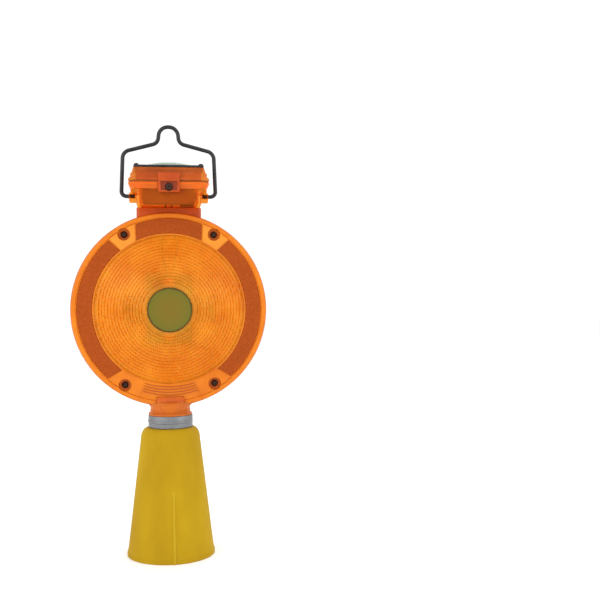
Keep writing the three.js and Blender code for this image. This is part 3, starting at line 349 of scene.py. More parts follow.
class Paint:
    """A material round one Principled shader, with short ways to add patterns to it."""

    def __init__(self, name, color, roughness, specular=0.5, metallic=0.0, coat=0.0):
        self.material = bpy.data.materials.new(name)
        self.material.use_nodes = True
        self.tree = self.material.node_tree
        self.shader = self.tree.nodes["Principled BSDF"]
        finish = {"Specular IOR Level": specular, "Metallic": metallic, "Coat Weight": coat}
        self.feed(self.shader, {"Base Color": (*color, 1), "Roughness": roughness, **finish})
        self.place = self.add("ShaderNodeTexCoord", {}).outputs["Object"]

    def feed(self, node, inputs):
        """Sets a node's inputs to numbers, or links them to other nodes' outputs."""
        for key, value in inputs.items():
            if isinstance(value, bpy.types.NodeSocket):
                self.tree.links.new(value, node.inputs[key])
            else:
                node.inputs[key].default_value = value

    def add(self, kind, inputs, **settings):
        node = self.tree.nodes.new(kind)
        for key, value in settings.items():
            setattr(node, key, value)
        self.feed(node, inputs)
        return node

    def texture(self, kind, size, stretch=(1, 1, 1)):
        """A solid texture whose grain is about size millimetres."""
        scale = [s / (MM * size) for s in stretch]
        mapping = self.add("ShaderNodeMapping", {"Vector": self.place, "Scale": scale})
        return self.add(kind, {"Vector": mapping.outputs["Vector"], "Scale": 1.0})

    def noise(self, size, detail, stretch=(1, 1, 1)):
        """Cloudy noise."""
        node = self.texture("ShaderNodeTexNoise", size, stretch)
        self.feed(node, {"Detail": detail})
        return node.outputs["Fac"]

    def cells(self, size):
        """Distance to the nearest of scattered points."""
        return self.texture("ShaderNodeTexVoronoi", size).outputs["Distance"]

    def colors(self, value, stops):
        """Colours between the stops, by a value from 0 to 1."""
        node = self.add("ShaderNodeValToRGB", {"Fac": value})
        elements = node.color_ramp.elements
        while len(elements) < len(stops):
            elements.new(0.5)
        for element, (position, color) in zip(elements, stops):
            element.position = position
            element.color = (*color, 1)
        self.feed(self.shader, {"Base Color": node.outputs["Color"]})

    def rough(self, value, low, high):
        node = self.add("ShaderNodeMapRange", {"Value": value, "To Min": low, "To Max": high})
        self.feed(self.shader, {"Roughness": node.outputs["Result"]})

    def bump(self, value, depth, strength):
        """Surface relief, depth millimetres deep, on top of any that is there already."""
        node = self.add("ShaderNodeBump", {"Height": value, "Distance": depth * MM, "Strength": strength})
        for link in self.shader.inputs["Normal"].links:
            self.feed(node, {"Normal": link.from_socket})
        self.feed(self.shader, {"Normal": node.outputs["Normal"]})

    def see_through(self, tint, share):
        """Lets a share of the light straight through, tinted."""
        clear = self.add("ShaderNodeBsdfTransparent", {"Color": (*tint, 1)})
        parts = {"Fac": share, 1: self.shader.outputs["BSDF"], 2: clear.outputs["BSDF"]}
        mix = self.add("ShaderNodeMixShader", parts)
        self.feed(self.tree.nodes["Material Output"], {"Surface": mix.outputs["Shader"]})
        return self.material


def amber_plastic(name, share, deep, light, roughness=0.3, dots=0.0, tint=(1.0, 0.6, 0.14)):
    """Tinted clear plastic: part of the light goes straight through, the rest is lit like paint."""
    paint = Paint(name, light, roughness, 0.3)
    paint.colors(paint.noise(22, 4), [(0.3, deep), (0.7, light)])
    paint.rough(paint.noise(9, 5), roughness - 0.06, roughness + 0.12)
    paint.bump(paint.noise(14, 2), 0.1, 0.3)
    if dots:
        paint.bump(paint.cells(1.5), dots, 0.8)
    return paint.see_through(tint, share)


def reflector_plastic():
    paint = Paint("reflector", (0.34, 0.06, 0.005), 0.42, 0.1)
    paint.colors(paint.noise(1.6, 4), [(0.3, (0.29, 0.048, 0.004)), (0.7, (0.38, 0.068, 0.006))])
    paint.rough(paint.noise(3, 3), 0.36, 0.5)
    return paint.material


def share_of_radius(paint, middle, radius):
    """Distance from the axis through middle that runs along Y, as a share of a radius."""
    offset = paint.add("ShaderNodeVectorMath", {0: paint.place, 1: middle * MM}, operation="SUBTRACT")
    scale = 1 / (MM * radius)
    inputs = {0: offset.outputs["Vector"], 1: (scale, 0, scale)}
    flat = paint.add("ShaderNodeVectorMath", inputs, operation="MULTIPLY")
    length = paint.add("ShaderNodeVectorMath", {0: flat.outputs["Vector"]}, operation="LENGTH")
    return length.outputs["Value"]


def olive_plastic():
    """Olive, greener towards the edge, with its seating ring painted dark brown as shade in the groove
    round the cap.
    """
    paint = Paint("olive_cap", (0.16, 0.12, 0.014), 0.55, 0.1)
    inputs = {0: paint.noise(9, 4), 1: 0.12, 2: share_of_radius(paint, CAP.mid, CAP.half.x)}
    blotch_and_edge_shade = paint.add("ShaderNodeMath", inputs, operation="MULTIPLY_ADD")
    stops = [
        (0.3, (0.17, 0.118, 0.014)),
        (0.75, (0.155, 0.122, 0.015)),
        (0.98, (0.125, 0.12, 0.016)),
        # dark brown at the very edge: painted shade in the groove round the cap
        (1.0, (0.1, 0.06, 0.012)),
    ]
    paint.colors(blotch_and_edge_shade.outputs["Value"], stops)
    paint.rough(paint.noise(5, 4), 0.48, 0.66)
    paint.bump(paint.noise(0.7, 3), 0.04, 0.5)
    return paint.material


def sleeve_plastic(name, deep, middle, light):
    paint = Paint(name, middle, 0.56, 0.04)
    paint.colors(paint.noise(34, 4, (1, 1, 0.45)), [(0.3, deep), (0.55, middle), (0.75, light)])
    paint.rough(paint.noise(7, 5), 0.5, 0.66)
    paint.bump(paint.noise(18, 2), 0.3, 0.3)
    paint.bump(paint.noise(0.6, 3), 0.03, 0.45)
    return paint.material


def metal(name, color, roughness, grain=1.4, stretch=(1, 1, 6)):
    paint = Paint(name, color, roughness, metallic=0.85)
    paint.colors(paint.noise(6, 4), [(0.3, tuple(c * 0.82 for c in color)), (0.7, color)])
    paint.rough(paint.noise(grain, 3, stretch), roughness - 0.08, roughness + 0.14)
    paint.bump(paint.noise(grain, 2, stretch), 0.02, 0.4)
    return paint.material


def coated(name, color, roughness, grain=0.8, worn=None):
    """Paint, plastic or rubber with a fine grain."""
    paint = Paint(name, color, roughness, 0.3)
    paler = worn or tuple(min(c * 1.5 + 0.008, 1) for c in color)
    paint.colors(paint.noise(8, 6), [(0.35, color), (0.8, paler)])
    paint.rough(paint.noise(5, 4), roughness - 0.08, roughness + 0.1)
    paint.bump(paint.noise(grain, 3), 0.04, 0.5)
    return paint.material


def window_plastic():
    paint = Paint("clear_window", (0.3, 0.35, 0.31), 0.2, 0.05)
    paint.colors(paint.noise(16, 3), [(0.35, (0.2, 0.24, 0.22)), (0.7, (0.3, 0.34, 0.29))])
    paint.rough(paint.noise(8, 3), 0.08, 0.2)
    paint.bump(paint.noise(20, 2), 0.1, 0.3)
    return paint.see_through((0.88, 0.94, 0.88), 0.6)


def silicon():
    paint = Paint("solar_cells", (0.012, 0.022, 0.06), 0.2, coat=0.5)
    paint.colors(paint.cells(5), [(0.1, (0.008, 0.016, 0.05)), (0.9, (0.02, 0.035, 0.09))])
    paint.rough(paint.noise(3, 3), 0.14, 0.3)
    return paint.material


AMBER_BODY = amber_plastic("amber_body", 0.3, (0.71, 0.185, 0.006), (0.85, 0.265, 0.01))
AMBER_PAD = amber_plastic("amber_pad", 0.25, (0.82, 0.28, 0.02), (0.9, 0.34, 0.028))
AMBER_LENS = amber_plastic("amber_lens", 0.54, (0.74, 0.27, 0.012), (0.9, 0.44, 0.03), 0.26, 0.05)
AMBER_CASE = amber_plastic("amber_case", 0.8, (0.72, 0.15, 0.01), (0.86, 0.24, 0.02), tint=(0.98, 0.6, 0.2))
AMBER_FLANGE = amber_plastic("amber_flange", 0.45, (0.84, 0.14, 0.008), (0.94, 0.2, 0.012))
AMBER_LID = amber_plastic("amber_lid", 0.5, (0.46, 0.085, 0.012), (0.66, 0.15, 0.018))
# darker red amber; on the upper neck's flat face it is painted shadow under the head
AMBER_DARK_RED = amber_plastic("amber_dark_red", 0.3, (0.47, 0.065, 0.007), (0.63, 0.105, 0.012))
AMBER_SOCKET = amber_plastic("amber_socket", 0.26, (0.52, 0.11, 0.006), (0.68, 0.17, 0.01))
AMBER_SHADE = amber_plastic("amber_shade", 0.2, (0.24, 0.035, 0.008), (0.32, 0.05, 0.01))
AMBER_LINE = amber_plastic("amber_line", 0.25, (0.42, 0.09, 0.012), (0.5, 0.12, 0.015))
REFLECTOR = reflector_plastic()
OLIVE = olive_plastic()
YELLOW = sleeve_plastic("yellow_sleeve", (0.36, 0.212, 0.007), (0.41, 0.25, 0.008), (0.45, 0.29, 0.01))
# paler yellow for the ribs: a painted highlight where they catch the light
YELLOW_RIB_HIGHLIGHT = sleeve_plastic("yellow_rib_highlight", (0.41, 0.25, 0.012), (0.45, 0.29, 0.014), (0.47, 0.31, 0.016))
ZINC = metal("grey_band", (0.22, 0.23, 0.24), 0.42)
NICKEL = metal("nickel", (0.6, 0.57, 0.5), 0.3, 0.9, (1, 1, 1))
DARK_STEEL = metal("dark_screw", (0.06, 0.035, 0.025), 0.45, 0.8, (1, 1, 1))
WIRE = coated("black_wire", (0.014, 0.014, 0.016), 0.45, 0.9)
BLACK = coated("black_plastic", (0.012, 0.013, 0.016), 0.45)
BLACK_SCREW = coated("black_screw", (0.01, 0.01, 0.012), 0.36)
BUTTON_RUBBER = coated("button_rubber", (0.012, 0.012, 0.012), 0.65)
GASKET_RUBBER = coated("rubber", (0.24, 0.07, 0.012), 0.7, worn=(0.3, 0.09, 0.014))
WINDOW_CLEAR = window_plastic()
SILICON = silicon()
BOARD = coated("circuit_board", (0.02, 0.1, 0.03), 0.4, 1.5)
WHITE = coated("carrier", (0.5, 0.42, 0.3), 0.45, 0.8, (0.62, 0.54, 0.4))
CELL = coated("battery_cell", (0.06, 0.04, 0.03), 0.4, 2.0)
LED = coated("led", (0.9, 0.5, 0.15), 0.12, 2.0)
RED_LEAD = coated("red_lead", (0.42, 0.015, 0.012), 0.45)
BLACK_LEAD = coated("black_lead", (0.012, 0.012, 0.012), 0.45)
FLOOR = coated("floor", (0.93, 0.93, 0.93), 0.7, 6.0, (0.96, 0.96, 0.96))


# ---------------------------------------------------------------- small parts

THREAD_START = 0.1  # from the seat of a screw's head
CROSS_SHANK_R, CROSS_HEAD_T, CROSS_REACH = 1.4, 2.2, 1.7  # of the screws with a cross recess
CASE_HEAD = dict(flat_r=2.1, flat_round=0.8, head_r=3.2, shoulder=0.9, pitch=1.0, width=0.42, depth=1.1)
LID_HEAD = dict(flat_r=2.5, flat_round=0.6, head_r=3.4, shoulder=1.0, pitch=0.9, width=0.45, depth=1.2)


def hexagon(apothem, turn):
    """A shift for revolve that trims a round piece to a hexagon."""
    sixth = TURN / 6

    def shift(a, r, h):
        flat = (a + turn) % sixth - sixth / 2
        return (min(r, apothem / math.cos(flat)), h)

    return shift


def helix(pitch, depth, above, low, high):
    """A shift for revolve that winds a thread on what is wider than above, between two heights."""

    def shift(a, r, h):
        if r < above or not low < h < high:
            return (r, h)
        phase = (h / pitch - a / TURN) % 1
        return (r - depth * abs(2 * phase - 1), h)

    return shift


def threaded(name, head, shank_r, seat, end, axis, at, material, pitch=0.8):
    """A screw: the outline of its head as far as the seat, then a threaded shank to the end."""
    way = 1 if end > seat else -1
    start = seat + way * THREAD_START
    step = way * pitch / 5
    shank = [(shank_r, start + step * i) for i in range(int((end - start) / step))]
    profile = head + [(shank_r, seat)] + shank + [(shank_r * 0.6, end), (0, end)]
    shift = helix(pitch, shank_r * 0.22, shank_r * 0.95, *sorted((start, end)))
    return revolve(name, profile, material, axis, 24, shift=shift, at=at, sharp=30)


def cross_screw(name, box, flat_r, flat_round, head_r, shoulder, pitch, width, depth):
    """A dark screw whose head faces -Y and has a cross recess of that half width and depth."""
    x, z, face = box.mid.x, box.mid.z, box.lo.y
    seat = face + CROSS_HEAD_T
    head = [(0, face), (flat_r, face, flat_round), (head_r, seat - shoulder, 0.6), (head_r, seat, 0.1)]
    piece = threaded(name, head, CROSS_SHANK_R, seat, box.hi.y, "y", (x, z), DARK_STEEL, pitch)
    recess = [
        sharp_box((x - half_x, face - 1, z - half_z), (x + half_x, face + depth, z + half_z))
        for half_x, half_z in ((CROSS_REACH, width), (width, CROSS_REACH))
    ]
    return cut(piece, *recess)


def hex_nut(name, profile, half, axis, segments, at):
    """A nut trimmed to a hexagon, whose corners lie along the longer of its half sizes."""
    turn = 0 if half[0] > half[1] else TURN / 12
    shift = hexagon(max(half) * math.cos(TURN / 12), turn)
    return revolve(name, profile, NICKEL, axis, segments, shift=shift, at=at, sharp=25)


def merge(name, objects, material):
    """Several closed shells as one object."""
    bm = bmesh.new()
    for obj in objects:
        bm.from_mesh(obj.data)
        bpy.data.objects.remove(obj)
    return to_object(name, bm, material)


def dress(node, material, bevel=0.0):
    """Gives a CAD node that stays in view its finish and, where asked, softer edges."""
    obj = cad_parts[node]
    obj.data.materials.clear()
    obj.data.materials.append(material)
    if bevel:
        soften(obj, bevel, angle=40)


# ---------------------------------------------------------------- cone sleeve and clamp

SLEEVE_WALL = 2.6
MOUTH_R = SLEEVE.half.x
TAPER_INSET = 0.3  # from the beads at the mouth and the shoulder
SHOULDER_R, SHOULDER_Z = 28.8, 112.0
SHOULDER_TOP_R, SHOULDER_TOP_Z = 21.3, BAND.lo.z - 0.4
SLEEVE_NECK_R, SLEEVE_BORE_R = 19.5, 17.7
RIB_TOP, RIB_WIDTH, RIB_HEIGHT = 64.0, 2.2, 1.2
RIB_ANGLES = [math.radians(4 - 90), math.radians(4 + 90)]
BEAD_TOP = 3.4  # of the rolled rim at the mouth


def sleeve_radius(z):
    return MOUTH_R - TAPER_INSET - (MOUTH_R - SHOULDER_R) * z / SHOULDER_Z


def from_rib(a):
    """Distance round the mouth from the nearer rib's middle."""
    return away_from(a, RIB_ANGLES) * MOUTH_R


def sleeve_shift(a, r, h):
    """Raises the two moulded ribs out of the taper."""
    if r < sleeve_radius(h) - 0.6 or h > RIB_TOP + 2:
        return (r, h)
    side = 1 - smooth_step((from_rib(a) - RIB_WIDTH / 2 + 0.5) / 0.9)
    top = 1 - smooth_step((h - RIB_TOP + 2) / 2)
    return (r + (RIB_HEIGHT - 0.1) * side * top, h)


def sleeve_angles():
    """Even steps round, with finer ones across the ribs."""
    fine = [side * step for step in (0.3, 0.7, 1.0, 1.3, 1.6, 3.2) for side in (-1, 1)]
    extra = [(rib + step / MOUTH_R) % TURN for rib in RIB_ANGLES for step in fine]
    return sorted([a for a in turns(180) if from_rib(a) > 3.6] + extra)


def on_rib(p):
    """Whether a point lies on a rib, which is painted paler than the sleeve as a highlight along its crest.
    """
    across = from_rib(math.atan2(p.y, p.x)) < RIB_WIDTH / 2 + 0.2
    return across and p.z < RIB_TOP + 1 and math.hypot(p.x, p.y) > sleeve_radius(p.z) - 0.5


def cone_sleeve():
    bead = [(MOUTH_R - SLEEVE_WALL, 0), (MOUTH_R, 0, 0.5), (MOUTH_R, BEAD_TOP, 0.7)]
    bead.append((MOUTH_R - 0.4, BEAD_TOP))
    rise = [8 * i for i in range(1, 8)] + [RIB_TOP + step for step in (-3, -2, -1.5, -1, -0.5, 0, 2)]
    taper = [(sleeve_radius(z), z) for z in rise + [80, 96, 108]]
    shoulder = []
    for k in range(11):
        t = k / 10 * math.pi / 2
        r = SHOULDER_TOP_R + (SHOULDER_R - TAPER_INSET - SHOULDER_TOP_R) * math.cos(t)
        shoulder.append((r, SHOULDER_Z + (SHOULDER_TOP_Z - SHOULDER_Z) * math.sin(t)))
    top = SLEEVE.hi.z
    neck = [
        (SLEEVE_NECK_R, SHOULDER_TOP_Z),
        (SLEEVE_NECK_R, top - 0.4),
        (SLEEVE_NECK_R - 0.4, top),
        (SLEEVE_BORE_R + 0.4, top),
        (SLEEVE_BORE_R, top - 0.4),
        (SLEEVE_BORE_R, SHOULDER_TOP_Z - SLEEVE_WALL - 1),
    ]
    inner_r = SHOULDER_R - SLEEVE_WALL
    inside = [(inner_r - 1.6, SHOULDER_Z), (inner_r, SHOULDER_Z - 6)]
    profile = bead + taper + shoulder + neck + inside
    piece = revolve("sleeve", profile, YELLOW, angles=sleeve_angles(), shift=sleeve_shift, sharp=28)
    # the ribs take the paler yellow, a painted highlight
    repaint(piece, YELLOW_RIB_HIGHLIGHT, on_rib)
    install(piece, "yellow_sleeve", "cone_sleeve")


BAND_R = BAND.half.x - 0.5
BAND_IN = 19.9
STRAP_END, STRAP_START = math.radians(-42), math.radians(62)
STRAP_STEP = 0.4
EAR_GAP, EAR_T, EAR_INSET, EAR_BORE_R = 3.2, 1.2, 0.8, 2.3
CLAMP_SHANK_R, CLAMP_HEAD_R, CLAMP_HEAD_T = 1.9, 3.4, 2.6


def strap_shift(a, r, h):
    """One end of the strap lies over the other, at the lamp's right."""
    a = (a + math.pi) % TURN - math.pi
    if r > BAND_R - 0.3 and STRAP_END <= a <= STRAP_START:
        return (min(r + STRAP_STEP, BAND.half.x), h)
    return (r, h)


def clamp_band():
    low, mid, high = BAND.lo.z, BAND.mid.z, BAND.hi.z
    ridge = [(BAND_R, -1.3), (BAND_R + 0.5, -0.8), (BAND_R + 0.5, 0.8), (BAND_R, 1.3)]
    profile = [(BAND_IN, low, 0.3), (BAND_R, low, 0.3)]
    profile += [(r, mid + step, 0.2) for r, step in ridge]
    profile += [(BAND_R, high, 0.3), (BAND_IN, high, 0.3)]
    ends = [STRAP_END - 0.01, STRAP_END, STRAP_START, STRAP_START + 0.01]
    angles = sorted(turns(160) + [a % TURN for a in ends])
    band = revolve("band", profile, ZINC, angles=angles, shift=strap_shift, sharp=28)
    half = EAR_GAP / 2
    cut(band, sharp_box((-half, 0, low - 1), (half, BAND.hi.y, high + 1)))
    for side in (1, -1):
        far = (side * (half + EAR_T), BAND.hi.y, high - EAR_INSET)
        join(band, block("ear", (side * half, BAND_IN + 0.2, low + EAR_INSET), far, bevel=0.35))
    cut(band, rod("x", EAR_BORE_R, -6, 6, (CLAMP_SCREW.mid.y, mid)))
    install(band, "grey_band", "clamp_band")


def clamp_fasteners():
    y, z = CLAMP_SCREW.mid.y, CLAMP_SCREW.mid.z
    tip, crown = CLAMP_SCREW.lo.x, CLAMP_SCREW.hi.x
    seat = crown - CLAMP_HEAD_T
    head = [(0, crown), (2.6, crown, 1.0), (CLAMP_HEAD_R, seat + 1.0, 0.8), (CLAMP_HEAD_R, seat, 0.2)]
    screw = threaded("clamp_bolt", head, CLAMP_SHANK_R, seat, tip, "x", (y, z), NICKEL)
    cut(screw, sharp_box((crown - 1, y - 0.5, z - 4), (crown + 1, y + 0.5, z + 4)))
    install(screw, "dark_screw", "clamp_screw")
    low, high = CLAMP_NUT.lo.x, CLAMP_NUT.hi.x
    corner_r = max(CLAMP_NUT.half.y, CLAMP_NUT.half.z)
    profile = [
        (CLAMP_SHANK_R, low),
        (corner_r - 0.5, low),
        (corner_r, low + 0.35),
        (corner_r, high - 0.35),
        (corner_r - 0.5, high),
        (CLAMP_SHANK_R, high),
    ]
    nut = hex_nut("clamp_hex_nut", profile, (CLAMP_NUT.half.y, CLAMP_NUT.half.z), "x", 72, (y, z))
    install(nut, "nickel", "clamp_nut")


# ---------------------------------------------------------------- lower neck

NECK_R, NECK_WALL = 19.0, 2.4
LIP_R, LIP_LOW, LIP_HIGH = 20.9, BAND.hi.z + 0.1, BAND.hi.z + 2.1
SPIGOT_R = 17.3
RIDGE_ZS = [138.4, 139.8]
PANEL_LOW, PANEL_HIGH, PANEL_TURN, PANEL_DEPTH = 141.2, 146.2, math.radians(33), 0.5
FLARE_LOW, FLARE_HIGH, FLARE = 141.5, 146.0, 3.4  # the neck spreads sideways into the rim
NECK_TOP = 147.4
CREST_HALF_W, CREST_HALF_D, CREST_TOP = 12.8, 15.6, 153.2  # plates that stand up over the rim


def neck_shift(a, r, h):
    """Sinks a shallow panel into the neck's front and rear, and spreads its sides under the rim."""
    if r < NECK_R - 0.8:
        return (r, h)
    inside = 1 - smooth_step((away_from(a, (-math.pi / 2, math.pi / 2)) - PANEL_TURN) / 0.05)
    band = smooth_step((h - PANEL_LOW) / 0.5) * (1 - smooth_step((h - PANEL_HIGH + 0.5) / 0.5))
    rise = min(max((h - FLARE_LOW) / (FLARE_HIGH - FLARE_LOW), 0), 1)
    return (r - PANEL_DEPTH * inside * band + FLARE * rise**2 * math.cos(a) ** 6, h)


def neck_socket():
    low, spigot_in = NECK.lo.z, SPIGOT_R - NECK_WALL
    outside = [(spigot_in, low), (SPIGOT_R, low, 0.5), (SPIGOT_R, LIP_LOW, 0.3), (LIP_R, LIP_LOW, 0.5)]
    outside += [(LIP_R, LIP_HIGH, 0.6), (NECK_R, LIP_HIGH, 0.4)]
    for z in RIDGE_ZS:
        outside += [(NECK_R, z - 0.5, 0.15), (NECK_R + 0.5, z, 0.2), (NECK_R, z + 0.5, 0.15)]
    outside += [(NECK_R, PANEL_LOW + step) for step in (0, 0.25, 0.5, 1.5, 2.5, 3.5)]
    outside += [(NECK_R, PANEL_HIGH - step) for step in (0.5, 0.25, 0)]
    outside += [(NECK_R, NECK_TOP, 0.8), (0, NECK_TOP)]
    bore, ceiling = NECK_R - NECK_WALL, NECK_TOP - NECK_WALL
    inside = [(0, ceiling), (bore, ceiling), (bore, LIP_HIGH), (spigot_in, LIP_HIGH)]
    profile = outside + inside
    piece = revolve("lower_neck", profile, AMBER_SOCKET, segments=160, shift=neck_shift, sharp=30)
    crest = centred(CREST_HALF_W, CREST_HALF_D, NECK_TOP - 1, CREST_TOP)
    join(piece, block("crest", *crest, bevel=1.6, segments=4))
    repaint(piece, AMBER_DARK_RED, lambda p: p.z > NECK_TOP + 0.2)
    install(piece, "amber_plastic", "neck_socket")


# ---------------------------------------------------------------- lens and its rim

BORDER_IN = 71.0
RIM_IN = 88.0
PART = 0.15  # each half stops this far from the parting plane
EDGE_WIDTH = 0.6  # of the redder line round the rim
NECK_HALF_W, NECK_HALF_D, NECK_CORNER = 30.7, 9.0, 3.0
UPPER_NECK_TOP = 334.1
POCKET_R, POCKET_DEPTH = 6.0, 6.0
SCREW_WAY_R, BOSS_R, BOSS_BORE_R = 1.9, 4.4, 1.65  # past a pocket, and in the rear half
SEAM_T, SEAM_LAP = 1.6, 2.0  # of the lip inside the parting line
NECK_LOW = 76.0  # where the upper neck starts, above the lens's axis
REFLECTOR_RECESS, REFLECTOR_T = 1.6, 1.2
FIELD_INSET, PYRAMID_PITCH = 1.0, 2.4
REFLECTORS = {
    "top": (65.1, 114.9, 4.1, 4.1),
    "right": (-51.6, 50.6, 3.7, 1.4),
    "left": (129.4, 231.6, 1.4, 3.7),
}
PAD_KEEP = 1.4  # degrees between a pad and the reflector beside it
UPPER_PADS = [
    (REFLECTORS["right"][1] + PAD_KEEP, REFLECTORS["top"][0] - PAD_KEEP, -1.4, -4.1),
    (REFLECTORS["top"][1] + PAD_KEEP, REFLECTORS["left"][0] - PAD_KEEP, -4.1, -1.4),
]
LOWER_PADS = [
    (REFLECTORS["left"][1] + PAD_KEEP, 250.0, -3.7, 0.0),
    (290.0, 360 + REFLECTORS["right"][0] - PAD_KEEP, 0.0, -3.7),
]
PAD_BACK, PAD_FACE = 0.2 - FACE_Y, -0.5 - FACE_Y
LINE_SPAN, LINE_HALF_W = (251.5, 288.5), 0.45
LINE_RADII = [74.0, 76.6, 79.2, 81.8]
DOME_SPHERE = (LENS_R**2 + LENS_RISE**2) / (2 * LENS_RISE)
RING_PITCH, RING_DEPTH = 2.9, 0.95
FLUTE_PITCH, FLUTE_DEPTH = 4.2, 0.55


def sector(start, end, start_lean, end_lean, grow, n_around, radii):
    """Points at each radius of a ring's sector, whose ends lean as the reflectors' do."""
    rows = []
    inner, outer = REFLECTOR_IN - grow, REFLECTOR_OUT + grow
    spread = math.degrees(grow / outer)
    for r in radii:
        share = (r - inner) / (outer - inner)
        a0 = math.radians(start - spread + start_lean * share)
        a1 = math.radians(end + spread - end_lean * share)
        rows.append([(r, a0 + (a1 - a0) * i / n_around) for i in range(n_around + 1)])
    return rows


def flat_plate(name, rows, back, face):
    """A plate between two depths. Its outline goes along one row of points and back along the other."""
    outline = rows[0] + rows[1][::-1]
    loops = []
    for y in (back, face):
        loops.append([(r * math.cos(a), y, DISC_Z + r * math.sin(a)) for r, a in outline])
    return finish_mesh(name, skin(loops, closed=False), None)


def sector_plate(name, shape, grow, back, face, n_around=64):
    """A plate with a reflector's outline, grown on all sides."""
    radii = [REFLECTOR_IN - grow, REFLECTOR_OUT + grow]
    return flat_plate(name, sector(*shape, grow, n_around, radii), back, face)


def lens_depth(r):
    return FACE_Y + LENS_RISE - DOME_SPHERE + math.sqrt(DOME_SPHERE**2 - r**2)


def lens_turn(name, profile, material, segments=256, shift=None):
    """Turns a profile about the lens's axis."""
    return revolve(name, profile, material, "y", segments, shift=shift, at=(0, DISC_Z), sharp=30)


def seam_lip():
    """Ring on the rear half that laps inside the front half, open where the upper neck stands."""
    outer = DISC_R - WALL
    ring = [
        (outer - SEAM_T, -PART - SEAM_LAP),
        (outer + 0.5, -PART - SEAM_LAP),
        (outer + 0.5, -PART - 0.6),
        (outer - GAP, -PART - 0.6),
        (outer - GAP, SEAM_LAP, 0.2),
        (outer - SEAM_T, SEAM_LAP, 0.2),
    ]
    room = NECK_HALF_W + GAP
    room_low, room_high = (-room, -PART, DISC_Z + NECK_LOW), (room, SEAM_LAP + 1, DISC_Z + DISC_R)
    return cut(lens_turn("lip", ring, AMBER_BODY), sharp_box(room_low, room_high))


def rim_half(name):
    """Half of the rim with its flat border."""
    face = -FACE_Y
    profile = [
        (BORDER_IN, face + 3.0, 0.4),
        (BORDER_IN, face, 0.5),
        (RIM_IN - 0.5, face, 0.3),
        (RIM_IN, face + 0.9, 0.2),
        (RIM_IN + 0.6, face, 0.5),
        (DISC_R - 1.2, face, 1.4),
        (DISC_R, face + 2.2, 1.2),
        (DISC_R, -PART - 0.4, 0.2),
        (DISC_R - 0.4, -PART),
        (DISC_R - WALL, -PART),
        (DISC_R - WALL, face + 3.4, 1.0),
    ]
    return lens_turn(name, profile, AMBER_BODY)


def upper_neck():
    """Front half of the tube under the head."""
    low, top = DISC_Z + NECK_LOW, UPPER_NECK_TOP
    tube = [
        (NECK_HALF_W, NECK_HALF_D, low),
        (NECK_HALF_W, NECK_HALF_D, top, 0.4),
        (NECK_HALF_W - WALL, NECK_HALF_D - WALL, top, 0.4),
        (NECK_HALF_W - WALL, NECK_HALF_D - WALL, low),
    ]
    neck = box_sweep("neck", tube, NECK_CORNER, closed=True)
    return cut(neck, sharp_box((-40, -PART, low - 2), (40, 40, top + 2)))


def on_edge_or_neck(p):
    """Whether a point lies on the rim's edge or on the flat face of the upper neck; that face is painted
    darker red as the shadow cast by the head above.
    """
    on_edge = math.hypot(p.x, p.z - DISC_Z) > DISC_R - EDGE_WIDTH
    return on_edge or (p.z > DISC_Z + NECK_LOW and abs(p.y + NECK_HALF_D) < 0.05)


def screw_pocket(body, at):
    """A pocket for a case screw's head, with its wall and the way through its floor."""
    face = -FACE_Y
    join(body, rod("y", POCKET_R + 1.6, face + 1, 2.4 - POCKET_DEPTH, at, 48))
    cut(body, rod("y", POCKET_R, face - 2, -POCKET_DEPTH, at, 64))
    cut(body, rod("y", SCREW_WAY_R, -POCKET_DEPTH - 1, 1, at))


def screw_boss(body, at):
    """A post that a case screw bites into."""
    join(body, rod("y", BOSS_R, 1 - FACE_Y, -PART, at, 48))
    cut(body, rod("y", BOSS_BORE_R, 3 - FACE_Y, 1, at))


def lamp_body(name, node, rear):
    """Half of the rim and of the upper neck, with reflector recesses and room for the lower neck."""
    body = join(rim_half(name), upper_neck())
    if rear:
        join(body, seam_lip())
    inner_w, inner_d = NECK_HALF_W - WALL, NECK_HALF_D - WALL
    cut(body, sharp_box(*centred(inner_w, inner_d, DISC_Z + NECK_LOW - 3, UPPER_NECK_TOP + 5)))
    cut(body, rod("z", NECK_R + 0.1, DISC_Z - DISC_R - 4, NECK_TOP + 0.1, (0, 0), 96))
    cut(body, sharp_box(*centred(CREST_HALF_W + 0.1, CREST_HALF_D + 4, NECK_TOP - 2, CREST_TOP + 0.1)))
    for shape in REFLECTORS.values():
        cut(body, sector_plate("recess", shape, GAP, REFLECTOR_RECESS - FACE_Y, -FACE_Y - 2))
    for screw in CASE_SCREWS:
        site = screw_boss if rear else screw_pocket
        site(body, (screw.mid.x, screw.mid.z))
    bake(soften(body, 0.3, angle=50))
    body.data.set_sharp_from_angle(angle=math.radians(40))
    # the rim's edge redder, and the upper neck's face darker as painted shadow under the head
    repaint(body, AMBER_DARK_RED, on_edge_or_neck)
    install(body, "amber_plastic", node, rear=rear)


def lens_rows():
    """The lens's profile: flat seat, stepped rings out to the border, and the smooth inside."""
    seat = -lens_depth(SEAT_R)
    rows = [(0, seat), (SEAT_R, seat)]
    start = SEAT_R + 1.2
    count = int((LENS_R - start) / RING_PITCH)
    for i in range(count):
        for share in (0.0, 0.3, 0.6, 0.88):
            r = start + (i + share) * RING_PITCH
            rows.append((r, -lens_depth(r) + RING_DEPTH * share / 0.88))
    edge = -lens_depth(LENS_R)
    rows += [(LENS_R, edge), (LENS_R + 0.3, edge + 0.4), (LENS_R + 0.3, edge + 2.8)]
    inner = [(r, -lens_depth(r) + 3.0) for r in (LENS_R - 1, 60, 50, 40, 30)]
    return rows + inner + [(SEAT_R, seat + 2.6), (0, seat + 2.6)]


def flute_shift(a, r, h):
    """Upright flutes over the rings."""
    if r < SEAT_R + 1 or r > LENS_R or h > -lens_depth(r) + RING_DEPTH + 0.1:
        return (r, h)
    wave = math.cos(TURN * r * math.cos(a) / FLUTE_PITCH)
    return (r, h + FLUTE_DEPTH * (1 - abs(wave)))


def lens(name):
    return lens_turn(name, lens_rows(), AMBER_LENS, 480, flute_shift)


